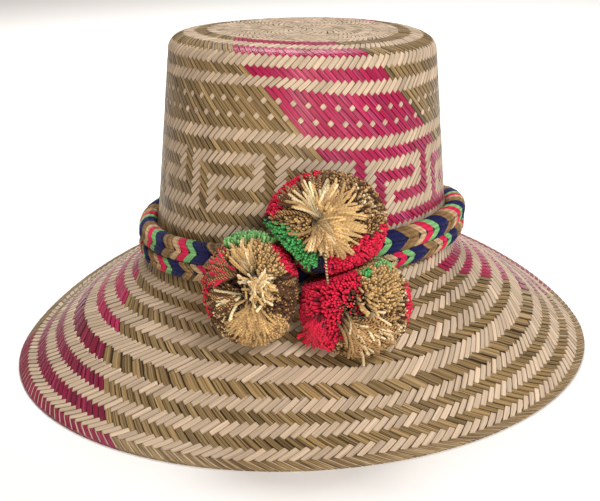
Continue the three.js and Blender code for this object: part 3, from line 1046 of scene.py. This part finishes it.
# For each arm: how far up, out and along (degrees) its middle yarn lies at each station.
UPPER_TOP_ARM = [(9.0, -8.0, -1.9), (10.6, -5.0, -1.9), (11.2, -2.0, -1.7), (10.8, 0.2, -1.1),
                 (9.9, 1.6, -0.3), (8.9, 2.5, 0.5), (7.8, 3.1, 1.2), (6.9, 3.3, 1.7), (6.4, 2.4, 2.0)]
UPPER_LOW_ARM = [(-1.2, -0.6, -2.0), (-0.7, 0.8, -1.8), (0.2, 1.9, -1.3), (1.4, 2.7, -0.7),
                 (2.7, 3.1, 0.0), (3.9, 3.3, 0.6), (5.0, 3.3, 1.2), (5.8, 3.3, 1.7), (6.2, 2.4, 2.0)]
LOWER_TOP_ARM = [(-0.6, -0.6, -2.0), (-0.8, 0.8, -1.8), (-1.3, 1.9, -1.3), (-2.0, 2.7, -0.7),
                 (-2.8, 3.1, 0.0), (-3.6, 3.3, 0.6), (-4.3, 3.3, 1.2), (-4.8, 3.3, 1.7),
                 (-5.1, 2.4, 2.0)]
LOWER_LOW_ARM = [(-9.0, -8.0, -1.9), (-10.6, -5.0, -1.9), (-11.2, -2.0, -1.7), (-10.7, 0.2, -1.1),
                 (-9.6, 1.6, -0.3), (-8.3, 2.5, 0.5), (-7.0, 3.1, 1.2), (-5.8, 3.3, 1.7),
                 (-5.3, 2.4, 2.0)]
arm_tube = tube_template(5, ARM_STATIONS)


def round_the_band(angle):
    """The colours repeat a whole number of times: at the back they are spaced wider."""
    whole = PERIODS * PERIOD_ANGLE
    angle = (angle + FRONT_HALF) % whole - FRONT_HALF
    stretch = (360 - 2 * FRONT_HALF) / (whole - 2 * FRONT_HALF)
    return np.where(angle > FRONT_HALF, FRONT_HALF + (angle - FRONT_HALF) * stretch, angle)


def arm_lean(angle):
    """The arms lean further along the band at the viewer's left than at the right."""
    return LEAN_MIDDLE - LEAN_CHANGE * np.sin(np.radians(angle))


def arm_bundle(arm, start, colour, width, yarns):
    """Paths and colours of the yarns of one arm in one colour."""
    arm_up, arm_out, arm_along = np.array(arm).T
    lift = rng.normal(0, BUNDLE_SPREAD)
    for yarn in range(yarns):
        place_across = (yarn + 0.5) / yarns - 0.5
        crown = BUNDLE_ROUND * width * (1 - 4 * place_across ** 2) + lift + BUNDLE_LIFT
        crown += rng.normal(0, YARN_OUT_SPREAD)
        centre = start + 0.5 * width + place_across * (width - BUNDLE_GAP) * ARM_TAPER
        along = centre + arm_along * arm_lean(centre) + rng.normal(0, YARN_ALONG_SPREAD)
        path = band_point(round_the_band(along), arm_out + crown, arm_up)
        yield path, YARN_COLOURS[colour] * rng.normal(1, YARN_SPREAD[colour])


paths, dyes = [], []
arms = ((UPPER_NAVY, UPPER_TOP_ARM), (UPPER_NAVY, UPPER_LOW_ARM),
        (LOWER_NAVY, LOWER_TOP_ARM), (LOWER_NAVY, LOWER_LOW_ARM))
for navy_angle, arm in arms:
    for period in range(PERIODS):
        angle = navy_angle - NAVY_TO_START + period * PERIOD_ANGLE
        for colour, width, yarns in PERIOD:
            for path, dye_colour in arm_bundle(arm, angle, colour, width, yarns):
                paths.append(path)
                dyes.append(dye_colour)
            angle += width
paths, dyes = np.array(paths), np.array(dyes)
radii = np.tile(YARN_RADIUS * YARN_THICKNESS, (len(paths), 1))
band_batch = strands(arm_tube, paths, radii, dyes, dyes)
band = object_from_mesh(joined_mesh("plait", [band_batch], ["Dye", "Ply"]), "plait", [band_yarn])
print("the band has", len(paths), "yarns and", len(band.data.polygons), "faces")

# %% [markdown]
# Behind the arms lies the band's core, which fills the spaces between them. Its dark navy is
# painted shade for those gaps. It is a ring with the band's own section, spun like the shell
# and moved to where the band lies.

# %% The core of the band
CORE_SHRINK = 1.3
BAND_TURNING = 100.0
PRESSED_IN = -50
section_length = np.linalg.norm(BAND_SECTION, axis=1)[:, None]
core_points = BAND_SECTION - CORE_SHRINK * BAND_SECTION / section_length
core_points = np.vstack([core_points, core_points[:1]]) + (BAND_TURNING, 0)
core = object_from_bmesh(spin_line(core_points, SPIN_STEPS), "plait_core", [band_yarn])
radius, round_angle, up = round_places(core.data)
out = radius - BAND_TURNING
placed = band_point(round_angle, np.where(out > 0, out, PRESSED_IN), up) * MM
core.data.vertices.foreach_set("co", placed.astype(np.float32).ravel())
core.data.uv_layers.new(name="StrawUV")
# Painted shade: the core is navy darkened, for the shadowed gaps between the arms.
CORE_SHADE = 0.4
core_shade_colour = np.array([*YARN_COLOURS["navy"] * CORE_SHADE, 1.0], np.float32)
for key in ("Dye", "Ply"):
    core_dye = core.data.attributes.new(key, "FLOAT_COLOR", "POINT")
    core_dye.data.foreach_set("color", np.tile(core_shade_colour, len(placed)))
core.data.update()
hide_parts("braid_band")
print("core", len(core.data.polygons), "faces")

# %% [markdown]
# ## The pompoms
# A pompom is a bundle of yarn tied in its middle and trimmed to a ball. Its strands run
# from the tie to the surface, so a look along them shows cut ends, and a look from the side
# shows long strands. The maker wound several colours one after the other, which leaves
# patches on the ball. Each pompom here has thousands of strands of its own: directions
# spread evenly over a ball, a path for each from the tie to the surface, and a colour from a
# short table of patches. Where pompoms press on each other or on the hat they are flat, so
# each strand stops at the first of these surfaces.

# %% Where a strand must stop
POMPOMS = {
    "pompom_top": dict(centre=(16, -115.5, 109.5), half=(34, 27, 29.5)),
    "pompom_left": dict(centre=(-25, -125, 76.5), half=(27, 26, 31)),
    "pompom_right": dict(centre=(30, -125, 66), half=(31.5, 26, 30)),
}
# The yarn isn't equally stiff, so a seam lies a little nearer to one pompom, in mm.
SEAM_SHIFT = {("pompom_top", "pompom_left"): -3.5, ("pompom_left", "pompom_top"): 3.5,
              ("pompom_top", "pompom_right"): 3.5, ("pompom_right", "pompom_top"): -3.5}
SEAM_GAP, HAT_GAP = 0.2, 0.5
BAND_HALF_DEPTH, BAND_HALF_HEIGHT = 5.6, 11.6
LEAST_FACING = 0.02
REACH_STEPS = np.linspace(0.1, 1, 46)


def inside_hat(point, gap):
    """True for points in mm that lie in the hat or in the band, or nearer than gap."""
    lift = RING_DIP * np.maximum(0, point[..., 2] - RING_DIP_START) * point[..., 0]
    height = point[..., 2] + lift
    x = point[..., 0] - CROWN_LEAN * height
    radius = np.hypot(x, point[..., 1])
    angle = np.degrees(np.arctan2(x, -point[..., 1]))
    in_hat = radius < outer_radius(height) + gap
    across = (radius - BAND_RADIUS) / (BAND_HALF_DEPTH + gap)
    up = (height - band_height(angle)) / (BAND_HALF_HEIGHT + gap)
    return in_hat | (across ** 2 + up ** 2 < 1)


def reach_of(name, directions):
    """How far each direction goes from the pompom's middle before it must stop, in mm."""
    own = POMPOMS[name]
    centre, half = np.array(own["centre"], float), np.array(own["half"], float)
    reach = 1 / np.linalg.norm(directions / half, axis=1)
    for other_name, other in POMPOMS.items():
        if other_name == name:
            continue
        apart = np.array(other["centre"], float) - centre
        distance = np.linalg.norm(apart)
        toward = apart / distance
        own_half = 1 / np.linalg.norm(toward / half)
        other_half = 1 / np.linalg.norm(toward / np.array(other["half"], float))
        seam = distance * own_half / (own_half + other_half) - SEAM_GAP
        seam += SEAM_SHIFT.get((name, other_name), 0.0)
        facing = directions @ toward
        stopped = np.minimum(reach, seam / np.maximum(facing, LEAST_FACING))
        reach = np.where(facing > LEAST_FACING, stopped, reach)
    samples = centre + directions[:, None] * (reach[:, None] * REACH_STEPS)[..., None]
    blocked = inside_hat(samples, HAT_GAP)
    last_free = np.maximum(blocked.argmax(1) - 1, 0)
    return reach * np.where(blocked.any(1), REACH_STEPS[last_free], 1.0)


print("reach of the top pompom to the front",
      round(float(reach_of("pompom_top", np.array([[0.0, -1.0, 0.0]]))[0]), 1), "mm")

# %% [markdown]
# The colours come in patches. Their outlines were drawn over the photograph, so
# their corners are its pixels. The camera says where a pompom's middle lies in the picture
# and how many pixels a mm takes there, which turns each corner to whole mm to the right and
# up from the middle, as the viewer in front of the hat sees it. Later patches lie over
# earlier ones, and their edges are ragged, because strands mix there. The number says how
# long the strands of a patch are, as a share of the full length: a smaller one leaves a
# hollow. "twist" is a two-ply yarn, brown and tan.

# %% Colour patches of each pompom
POMPOM_COLOURS = dye_colours({
    "gold": (205, 168, 112), "tan": (178, 141, 94), "cream": (234, 211, 168),
    "brown": (90, 58, 32), "twist": (80, 51, 28), "red": (230, 30, 72),
    "green": (138, 196, 122), "deep green": (84, 176, 98), "navy": (24, 24, 62),
})
SECOND_PLY = POMPOM_COLOURS | dye_colours({"twist": (182, 140, 88)})
PATCHES = {
    "pompom_top": [
        (("brown", "twist", "tan", "twist"), 1.00, None),
        (("tan", "cream", "tan", "brown"), 1.00, [
         (356, 180), (366, 190), (378, 198), (388, 210), (390, 222), (372, 212), (360, 200)]),
        (("red",), 1.00, [
         (259, 214), (258, 200), (266, 190), (279, 175), (292, 164), (309, 156), (309, 173),
         (298, 188), (287, 196), (281, 209), (275, 216), (266, 216)]),
        (("red",), 1.00, [(312, 160), (321, 160), (319, 176), (313, 177)]),
        (("navy",), 1.00, [(255, 224), (256, 213), (268, 216), (272, 222), (262, 224)]),
        (("red",), 1.00, [
         (326, 258), (340, 256), (350, 250), (360, 243), (366, 237), (378, 233), (386, 226),
         (398, 224), (400, 250), (386, 264), (360, 276), (340, 286), (322, 286)]),
        (("navy",), 0.93, [
         (300, 262), (318, 258), (326, 262), (328, 290), (318, 290), (306, 276)]),
        (("navy",), 0.95, [(332, 262), (336, 262), (338, 272), (334, 272)]),
        (("deep green",), 1.00, [
         (250, 224), (270, 221), (281, 223), (293, 231), (302, 240), (311, 249), (319, 257),
         (317, 268), (306, 268), (296, 262), (280, 250), (262, 242), (250, 234)]),
        # The brown of the next two short patches is partly the yarn's own and partly painted shade for
        # the hollow under the rosette.
        (("brown",), 0.82, [(305, 240), (314, 240), (323, 250), (324, 262), (315, 256)]),
        (("brown", "gold"), 0.88, [
         (304, 200), (320, 192), (346, 196), (360, 212), (358, 234), (344, 246), (324, 246),
         (316, 236), (312, 222)]),
        (("gold", "gold", "tan"), 0.99, [
         (284, 213), (300, 213), (313, 219), (317, 234), (307, 241), (292, 233), (281, 224)]),
    ],
    "pompom_left": [
        (("brown", "twist", "twist", "brown"), 1.00, None),
        (("brown", "brown", "brown", "twist"), 0.97, [
         (276, 276), (292, 272), (312, 268), (314, 340), (290, 338), (288, 322), (278, 312),
         (284, 296)]),
        (("red", "red", "twist"), 1.00, [
         (196, 250), (212, 234), (238, 226), (241, 241), (230, 250), (224, 258), (217, 268),
         (208, 290), (211, 320), (200, 322), (194, 280)]),
        (("green",), 1.09, [
         (226, 248), (224, 226), (248, 213), (282, 213), (284, 241), (274, 246), (261, 242),
         (246, 242)]),
        (("gold", "gold", "tan"), 1.00, [
         (222, 252), (232, 246), (246, 239), (262, 239), (272, 244), (280, 252), (288, 268),
         (284, 276), (262, 276), (244, 272), (232, 262)]),
        (("red",), 1.00, [
         (271, 242), (280, 238), (292, 252), (308, 268), (306, 276), (296, 276), (286, 266)]),
        (("gold", "tan", "gold"), 1.00, [
         (240, 312), (262, 309), (280, 316), (294, 332), (296, 344), (270, 352), (244, 352),
         (228, 340), (232, 324)]),
        (("cream", "brown", "twist"), 1.00, [
         (212, 316), (230, 314), (240, 322), (238, 348), (222, 342)]),
        # The next two patches are short brown strands: painted shade for hollows in the pompom.
        (("brown",), 0.74, [(218, 270), (246, 270), (248, 280), (236, 286), (220, 280)]),
        (("brown",), 0.80, [(226, 296), (244, 296), (246, 308), (230, 306)]),
        (("gold", "gold", "cream"), 0.93, [
         (240, 279), (262, 272), (284, 270), (288, 288), (282, 302), (264, 309), (248, 302)]),
    ],
    "pompom_right": [
        (("tan", "twist", "gold"), 1.00, None),
        (("twist", "cream", "tan", "brown"), 1.00, [
         (394, 262), (412, 268), (420, 300), (418, 334), (400, 340), (398, 310), (402, 286)]),
        (("red",), 1.00, [(406, 272), (420, 272), (422, 326), (409, 330), (409, 300)]),
        (("brown", "brown", "twist", "red"), 0.95, [
         (338, 308), (346, 298), (352, 291), (360, 284), (367, 288), (364, 304), (368, 318),
         (362, 326), (346, 326), (342, 346), (334, 346)]),
        (("brown", "twist", "tan"), 0.97, [
         (318, 344), (332, 346), (346, 350), (350, 368), (316, 368)]),
        (("brown", "gold", "twist"), 0.92, [
         (362, 306), (380, 312), (396, 306), (406, 308), (406, 324), (380, 322), (362, 322)]),
        (("gold",), 1.00, [
         (364, 272), (374, 262), (390, 264), (401, 272), (403, 290), (399, 305), (388, 314),
         (376, 311), (368, 304), (363, 292)]),
        (("green",), 1.00, [
         (376, 262), (384, 248), (398, 250), (402, 262), (394, 268), (385, 262)]),
        (("deep green",), 1.00, [(359, 270), (369, 262), (371, 274), (364, 277)]),
        (("red",), 1.00, [
         (296, 240), (312, 240), (330, 240), (350, 244), (357, 262), (362, 280), (358, 290),
         (350, 293), (345, 300), (338, 309), (341, 320), (338, 334), (332, 350), (324, 352),
         (318, 364), (300, 364), (284, 350), (294, 330), (294, 290)]),
        (("red",), 0.86, [(314, 286), (319, 288), (321, 330), (316, 330)]),
    ],
}
print("patches:", {name: len(rows) for name, rows in PATCHES.items()})

# %% Find the patch that each strand ends in
view_matrix = camera.matrix_world.to_3x3()
VIEW_UP = np.array(view_matrix.col[1])
PATCH_EDGE, YARN_TONE_SPREAD, DARKEST_YARN = 0.8, 0.16, 0.002


def seen_at(name):
    """A pompom's middle in the photograph, in pixels, and how many pixels a mm takes there."""
    x, y, z = camera.matrix_world.inverted() @ (Vector(POMPOMS[name]["centre"]) * MM)
    middle_x = PICTURE_WIDTH / 2 + FOCAL_PIXELS * x / -z
    middle_y = PICTURE_HEIGHT / 2 - FOCAL_PIXELS * y / -z
    return round(middle_x, 1), round(middle_y, 1), round(FOCAL_PIXELS * MM / -z, 3)


def seen_mm(name, pixel, digits=None):
    """A pixel of the photograph as mm to the right and up from the pompom's middle."""
    middle_x, middle_y, pixels_per_mm = seen_at(name)
    x, y = (pixel[0] - middle_x) / pixels_per_mm, (middle_y - pixel[1]) / pixels_per_mm
    return round(x, digits), round(y, digits)


def seen_axes(name):
    """The pompom's middle and half sizes, and the ways right, up and to the viewer."""
    centre = np.array(POMPOMS[name]["centre"], float)
    toward = np.array(CAMERA_PLACE) / MM - centre
    toward /= np.linalg.norm(toward)
    right = np.cross(VIEW_UP, toward)
    right /= np.linalg.norm(right)
    return centre, np.array(POMPOMS[name]["half"], float), right, np.cross(toward, right), toward


def in_outline(x, y, corners):
    """True for the points inside a closed outline: they cross its sides an odd number of times."""
    inside = np.zeros(len(x), bool)
    for (x0, y0), (x1, y1) in zip(corners, corners[1:] + corners[:1]):
        between = (y0 > y) != (y1 > y)
        slope = (x1 - x0) / ((y1 - y0) or 1e-9)
        inside ^= between & (x < x0 + (y - y0) * slope)
    return inside


def pick_colours(names, count):
    """Colours of both plies for strands that each take one of the names."""
    chosen = [names[k] for k in rng.integers(0, len(names), count)]
    tone = rng.normal(1, YARN_TONE_SPREAD, (count, 1))
    plies = [np.array([table[key] for key in chosen]) for table in (POMPOM_COLOURS, SECOND_PLY)]
    return [np.clip(colours * tone, DARKEST_YARN, 1) for colours in plies]


def patches_of(name, directions):
    """Colours of both plies and the share of the full length for each direction."""
    _, half, right, up, toward = seen_axes(name)
    facing = directions @ toward
    flat = directions - facing[:, None] * toward
    seen = np.where(facing[:, None] > 0, directions, flat)
    seen = seen / np.linalg.norm(seen / half, axis=1)[:, None]
    x = seen @ right + rng.normal(0, PATCH_EDGE, len(seen))
    y = seen @ up + rng.normal(0, PATCH_EDGE, len(seen))
    first, second = np.zeros((2, len(seen), 3))
    share = np.ones(len(seen))
    for names, length_share, outline in PATCHES[name]:
        hit = np.ones(len(x), bool)
        if outline is not None:
            hit = in_outline(x, y, [seen_mm(name, corner) for corner in outline])
        first[hit], second[hit] = pick_colours(names, int(hit.sum()))
        share[hit] = length_share
    return first, second, share


print("middles in the photograph:", {name: seen_at(name) for name in POMPOMS})

# %% [markdown]
# Strands that end at the surface show as dots. A template with a ring just below its end,
# narrower at the end itself, gives each a rounded tip, and the shade falls off quickly below
# it, because hardly any light reaches in between.

# %% Grow the cut strands
STRANDS = 3800
STRAND_RADIUS, STRAND_RADIUS_SPREAD = 0.73, 0.08
TIP_LENGTH, TRIMMED, SHORTEST_STRAND = 0.5, 0.4, 3.0
LENGTH_SHARES = (0.965, 1.0)
ROOT_TIME, NECK_TIME = 0.15, 0.8
SCATTER, SWAY = 0.014, 0.22
TURNED_AWAY, THICKER_BEHIND = -0.25, 1.3
cut_tube = tube_template(5, 4)
# Painted shade along each cut strand: dark at the root, and above 1 at the tip, a painted highlight on
# the cut end.
CUT_SHADE = [0.06, 0.30, 0.85, 1.25]
CUT_THICKNESS = np.array([0.6, 0.95, 1.0, 0.62])


def even_directions(count):
    index = np.arange(count) + 0.5
    up = 1 - 2 * index / count
    turn_angle = index * math.pi * (3 - math.sqrt(5))
    side = np.sqrt(1 - up * up)
    return np.stack([side * np.cos(turn_angle), side * np.sin(turn_angle), up], -1)


def cut_strands(name):
    """Strands from the tie to the surface; behind, half as many that are thicker."""
    centre, _, _, _, toward = seen_axes(name)
    directions = even_directions(STRANDS)
    behind = directions @ toward < TURNED_AWAY
    keep = ~behind | (np.arange(STRANDS) % 2 == 0)
    count = int(keep.sum())
    directions = directions[keep] + rng.normal(0, SCATTER, (count, 3))
    directions /= np.linalg.norm(directions, axis=1)[:, None]
    first, second, share = patches_of(name, directions)
    length = reach_of(name, directions) * share * rng.uniform(*LENGTH_SHARES, count) - TRIMMED
    length = np.maximum(length, SHORTEST_STRAND)
    times = np.stack([np.full(count, ROOT_TIME), np.full(count, NECK_TIME),
                      1 - TIP_LENGTH / length, np.ones(count)], 1)
    paths = centre + directions[:, None] * (length[:, None] * times)[..., None]
    paths = paths + rng.normal(0, SWAY, (count, 1, 3)) * times[..., None] ** 2
    behind = directions @ toward < TURNED_AWAY
    thick = STRAND_RADIUS * rng.normal(1, STRAND_RADIUS_SPREAD, (count, 1))
    thick = thick * np.where(behind, THICKER_BEHIND, 1.0)[:, None]
    return strands(cut_tube, paths, thick * CUT_THICKNESS, first, second, CUT_SHADE)


print("a cut strand has", len(cut_tube[2]), "faces")

# %% [markdown]
# Where a pompom has parted, long strands lie along its surface like a fan and show their
# whole length. Each fan has a place to start from, in the photograph's pixels, a range of
# clock angles counted anticlockwise from the right, a range of lengths in pixels, a number
# of strands, the colours, how far it rises from the surface in mm and how widely its starts
# are scattered, in pixels. Its strands follow the ball's surface, and their first bit dives
# into it.

# %% Lay the fans and the loose thread
FANS = {
    "pompom_top": [
        ((317, 219), (62, 152), (30, 44), 56, ("twist", "brown", "twist"), 0.3, 2),
        ((320, 221), (-72, 66), (24, 45), 120, ("gold", "gold", "tan"), 1.0, 6),
        ((320, 222), (-112, -40), (20, 34), 46, ("gold", "cream", "tan"), 1.2, 4),
        ((320, 219), (62, 150), (24, 42), 32, ("cream", "cream", "gold"), 1.8, 3),
        ((322, 214), (30, 110), (8, 20), 22, ("gold", "tan"), 2.2, 3),
    ],
    "pompom_left": [
        ((236, 275), (135, 205), (14, 30), 60, ("twist", "brown", "red", "twist"), 0.3, 4),
        ((240, 296), (168, 228), (14, 30), 54, ("twist", "brown", "cream", "twist"), 0.4, 4),
        ((252, 272), (96, 146), (16, 32), 40, ("gold", "cream", "gold"), 0.7, 5),
        ((252, 306), (222, 305), (16, 34), 100, ("gold", "tan", "gold"), 0.6, 8),
        ((258, 286), (0, 360), (6, 18), 64, ("gold", "cream", "gold"), 1.6, 12),
        ((276, 282), (-70, 5), (8, 20), 26, ("brown", "twist", "brown"), 0.3, 4),
    ],
    "pompom_right": [
        ((350, 320), (-74, -26), (18, 38), 96, ("tan", "twist", "cream", "tan"), 0.5, 9),
        ((368, 318), (-66, -20), (12, 32), 56, ("tan", "cream", "twist"), 0.6, 9),
        ((318, 320), (234, 284), (12, 28), 60, ("red",), 0.5, 7),
        ((366, 300), (-70, -20), (5, 12), 24, ("gold",), 0.7, 12),
    ],
}
FAN_RISE = np.array([-3.0, -0.3, 0.6, 1.0, 0.9, 0.6])
FAN_RISE_SHARES = (0.3, 1.4)
FAN_TIMES = np.array([0.0, 0.2, 0.45, 0.7, 0.96, 1.0])
# Painted shade along each fan strand, dark where it dives in, with a painted highlight towards its
# end.
FAN_SHADE = [0.15, 0.45, 0.75, 0.95, 1.15, 1.3]
FAN_THICKNESS = np.array([0.7, 0.85, 0.95, 1.0, 1.08, 0.8])
FAN_RADIUS, FAN_BEND = 0.76, 0.25
THREAD_RIGHT = [0.0, -0.3, 0.0, 0.3, 0.7, 1.1]
THREAD_UP = [-12.0, -16.0, -20.0, -24.0, -28.0, -31.0]
THREAD_OUT = [25.5, 25.5, 24.0, 22.0, 20.0, 17.5]
THREAD_RADIUS = 0.62
fan_tube = tube_template(5, len(FAN_TIMES))


def seen_point(name, x, y, out):
    """A place in mm from how far it lies right, up and towards the viewer of the middle."""
    centre, _, right, up, toward = seen_axes(name)
    return centre + x[..., None] * right + y[..., None] * up + out[..., None] * toward


def toward_viewer(name, x, y):
    """How far the ball's surface comes towards the viewer at a place seen there, in mm."""
    _, half, right, up, toward = seen_axes(name)
    side = (x[..., None] * right + y[..., None] * up) / half
    forward = toward / half
    a, b = forward @ forward, side @ forward
    c = (side ** 2).sum(-1) - 1
    return (-b + np.sqrt(np.maximum(b * b - a * c, 0))) / a


def fan_strands(name):
    pixels_per_mm = seen_at(name)[2]
    paths, first, second = [], [], []
    for start, (low, high), lengths, count, names, lift, scatter in FANS[name]:
        x, y = seen_mm(name, start, 1)
        short, long = (round(length / pixels_per_mm) for length in lengths)
        half_scatter = round(scatter / pixels_per_mm, 1) / 2
        clock = np.radians(rng.uniform(low, high, count))[:, None]
        length = rng.uniform(short, long, count)[:, None]
        clock = clock + rng.normal(0, FAN_BEND, (count, 1)) * FAN_TIMES
        start_x, start_y = np.array([x, y])[:, None, None] + rng.normal(
            0, half_scatter, (2, count, 1))
        run_x = start_x + length * FAN_TIMES * np.cos(clock)
        run_y = start_y + length * FAN_TIMES * np.sin(clock)
        out = toward_viewer(name, run_x, run_y)
        out = out + FAN_RISE * rng.uniform(*FAN_RISE_SHARES, (count, 1)) + lift
        paths.append(seen_point(name, run_x, run_y, out))
        colour, ply = pick_colours(names, count)
        first.append(colour)
        second.append(ply)
    paths = np.concatenate(paths)
    radii = FAN_RADIUS * rng.normal(1, STRAND_RADIUS_SPREAD, (len(paths), 1)) * FAN_THICKNESS
    return strands(fan_tube, paths, radii, np.concatenate(first), np.concatenate(second), FAN_SHADE)


def loose_thread():
    """A twisted end of yarn that hangs from the top pompom down to the right one."""
    path = seen_point("pompom_top", *np.array([[THREAD_RIGHT], [THREAD_UP], [THREAD_OUT]]))
    return strands(fan_tube, path, np.full((1, len(THREAD_OUT)), THREAD_RADIUS),
                   POMPOM_COLOURS["cream"][None], POMPOM_COLOURS["brown"][None])


for name in POMPOMS:
    batches = [cut_strands(name), fan_strands(name)]
    if name == "pompom_top":
        batches.append(loose_thread())
    mesh = joined_mesh(name + "_yarn", batches, ["Dye", "Ply"])
    piece = object_from_mesh(mesh, name + "_yarn", [pompom_yarn])
    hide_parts(name)
    print(piece.name, sum(len(b[1]) for b in batches), "strands,", len(piece.data.polygons), "faces")

# %% [markdown]
# ## Floor and light
# A pale sheet of paper lies under and behind the hat. The key lamp stands high and to the
# right, a warm one low in front brings out the gloss of the straw, and a third fills in from
# the right. A fourth lights the paper behind, so the hat stands before an even white ground.
# A dim warm sky keeps the shadows open.

# %% Floor, lamps and sky
FLOOR_HALF = 6.0
PAPER_COLOUR, PAPER_ROUGHNESS = (0.9, 0.9, 0.9, 1), 0.9
SKY_COLOUR, SKY_STRENGTH = (1.0, 0.85, 0.69, 1), 0.28
HAT_MIDDLE, BACKDROP = (0, 0, 0.08), (0, 2.0, 0)

floor_bm = bmesh.new()
bmesh.ops.create_grid(floor_bm, x_segments=1, y_segments=1, size=FLOOR_HALF)
floor_mesh = bpy.data.meshes.new("floor")
floor_bm.to_mesh(floor_mesh)
floor_bm.free()
paper = bpy.data.materials.new("paper")
paper.use_nodes = True
paper_shader = paper.node_tree.nodes["Principled BSDF"]
paper_shader.inputs["Base Color"].default_value = PAPER_COLOUR
paper_shader.inputs["Roughness"].default_value = PAPER_ROUGHNESS
floor_mesh.materials.append(paper)
floor = bpy.data.objects.new("floor", floor_mesh)
bpy.context.scene.collection.objects.link(floor)
floor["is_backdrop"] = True


def lamp(name, where, size, power, colour=(1, 1, 1), aim_at=HAT_MIDDLE):
    data = bpy.data.lights.new(name, "AREA")
    data.shape = "DISK"
    data.size, data.energy, data.color = size, power, colour
    obj = bpy.data.objects.new(name, data)
    obj.location = where
    aim = Vector(aim_at) - Vector(where)
    obj.rotation_euler = aim.to_track_quat("-Z", "Y").to_euler()
    bpy.context.scene.collection.objects.link(obj)


lamp("key lamp", (0.48, -1.08, 0.92), 0.5, 12.6)
lamp("front lamp", (-0.05, -1.3, 0.12), 0.4, 4.8, (1.0, 0.86, 0.67))
lamp("low lamp", (0.72, -1.15, 0.12), 0.3, 1.9, (1.0, 0.97, 0.95))
lamp("backdrop lamp", (0.0, 0.7, 1.5), 1.0, 50.0, aim_at=BACKDROP)
sky = bpy.data.worlds.new("sky")
sky.use_nodes = True
background = sky.node_tree.nodes["Background"]
background.inputs["Color"].default_value = SKY_COLOUR
background.inputs["Strength"].default_value = SKY_STRENGTH
bpy.context.scene.world = sky
bpy.context.scene.view_settings.view_transform = "Standard"
print("lamps and floor ready")

# %% Compare the boxes and finish
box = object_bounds()
as_list = lambda pair: [[float(x) for x in corner] for corner in pair]
{"cad": as_list(cad_box), "visual": as_list(box)}
print("visual box", as_list(box))
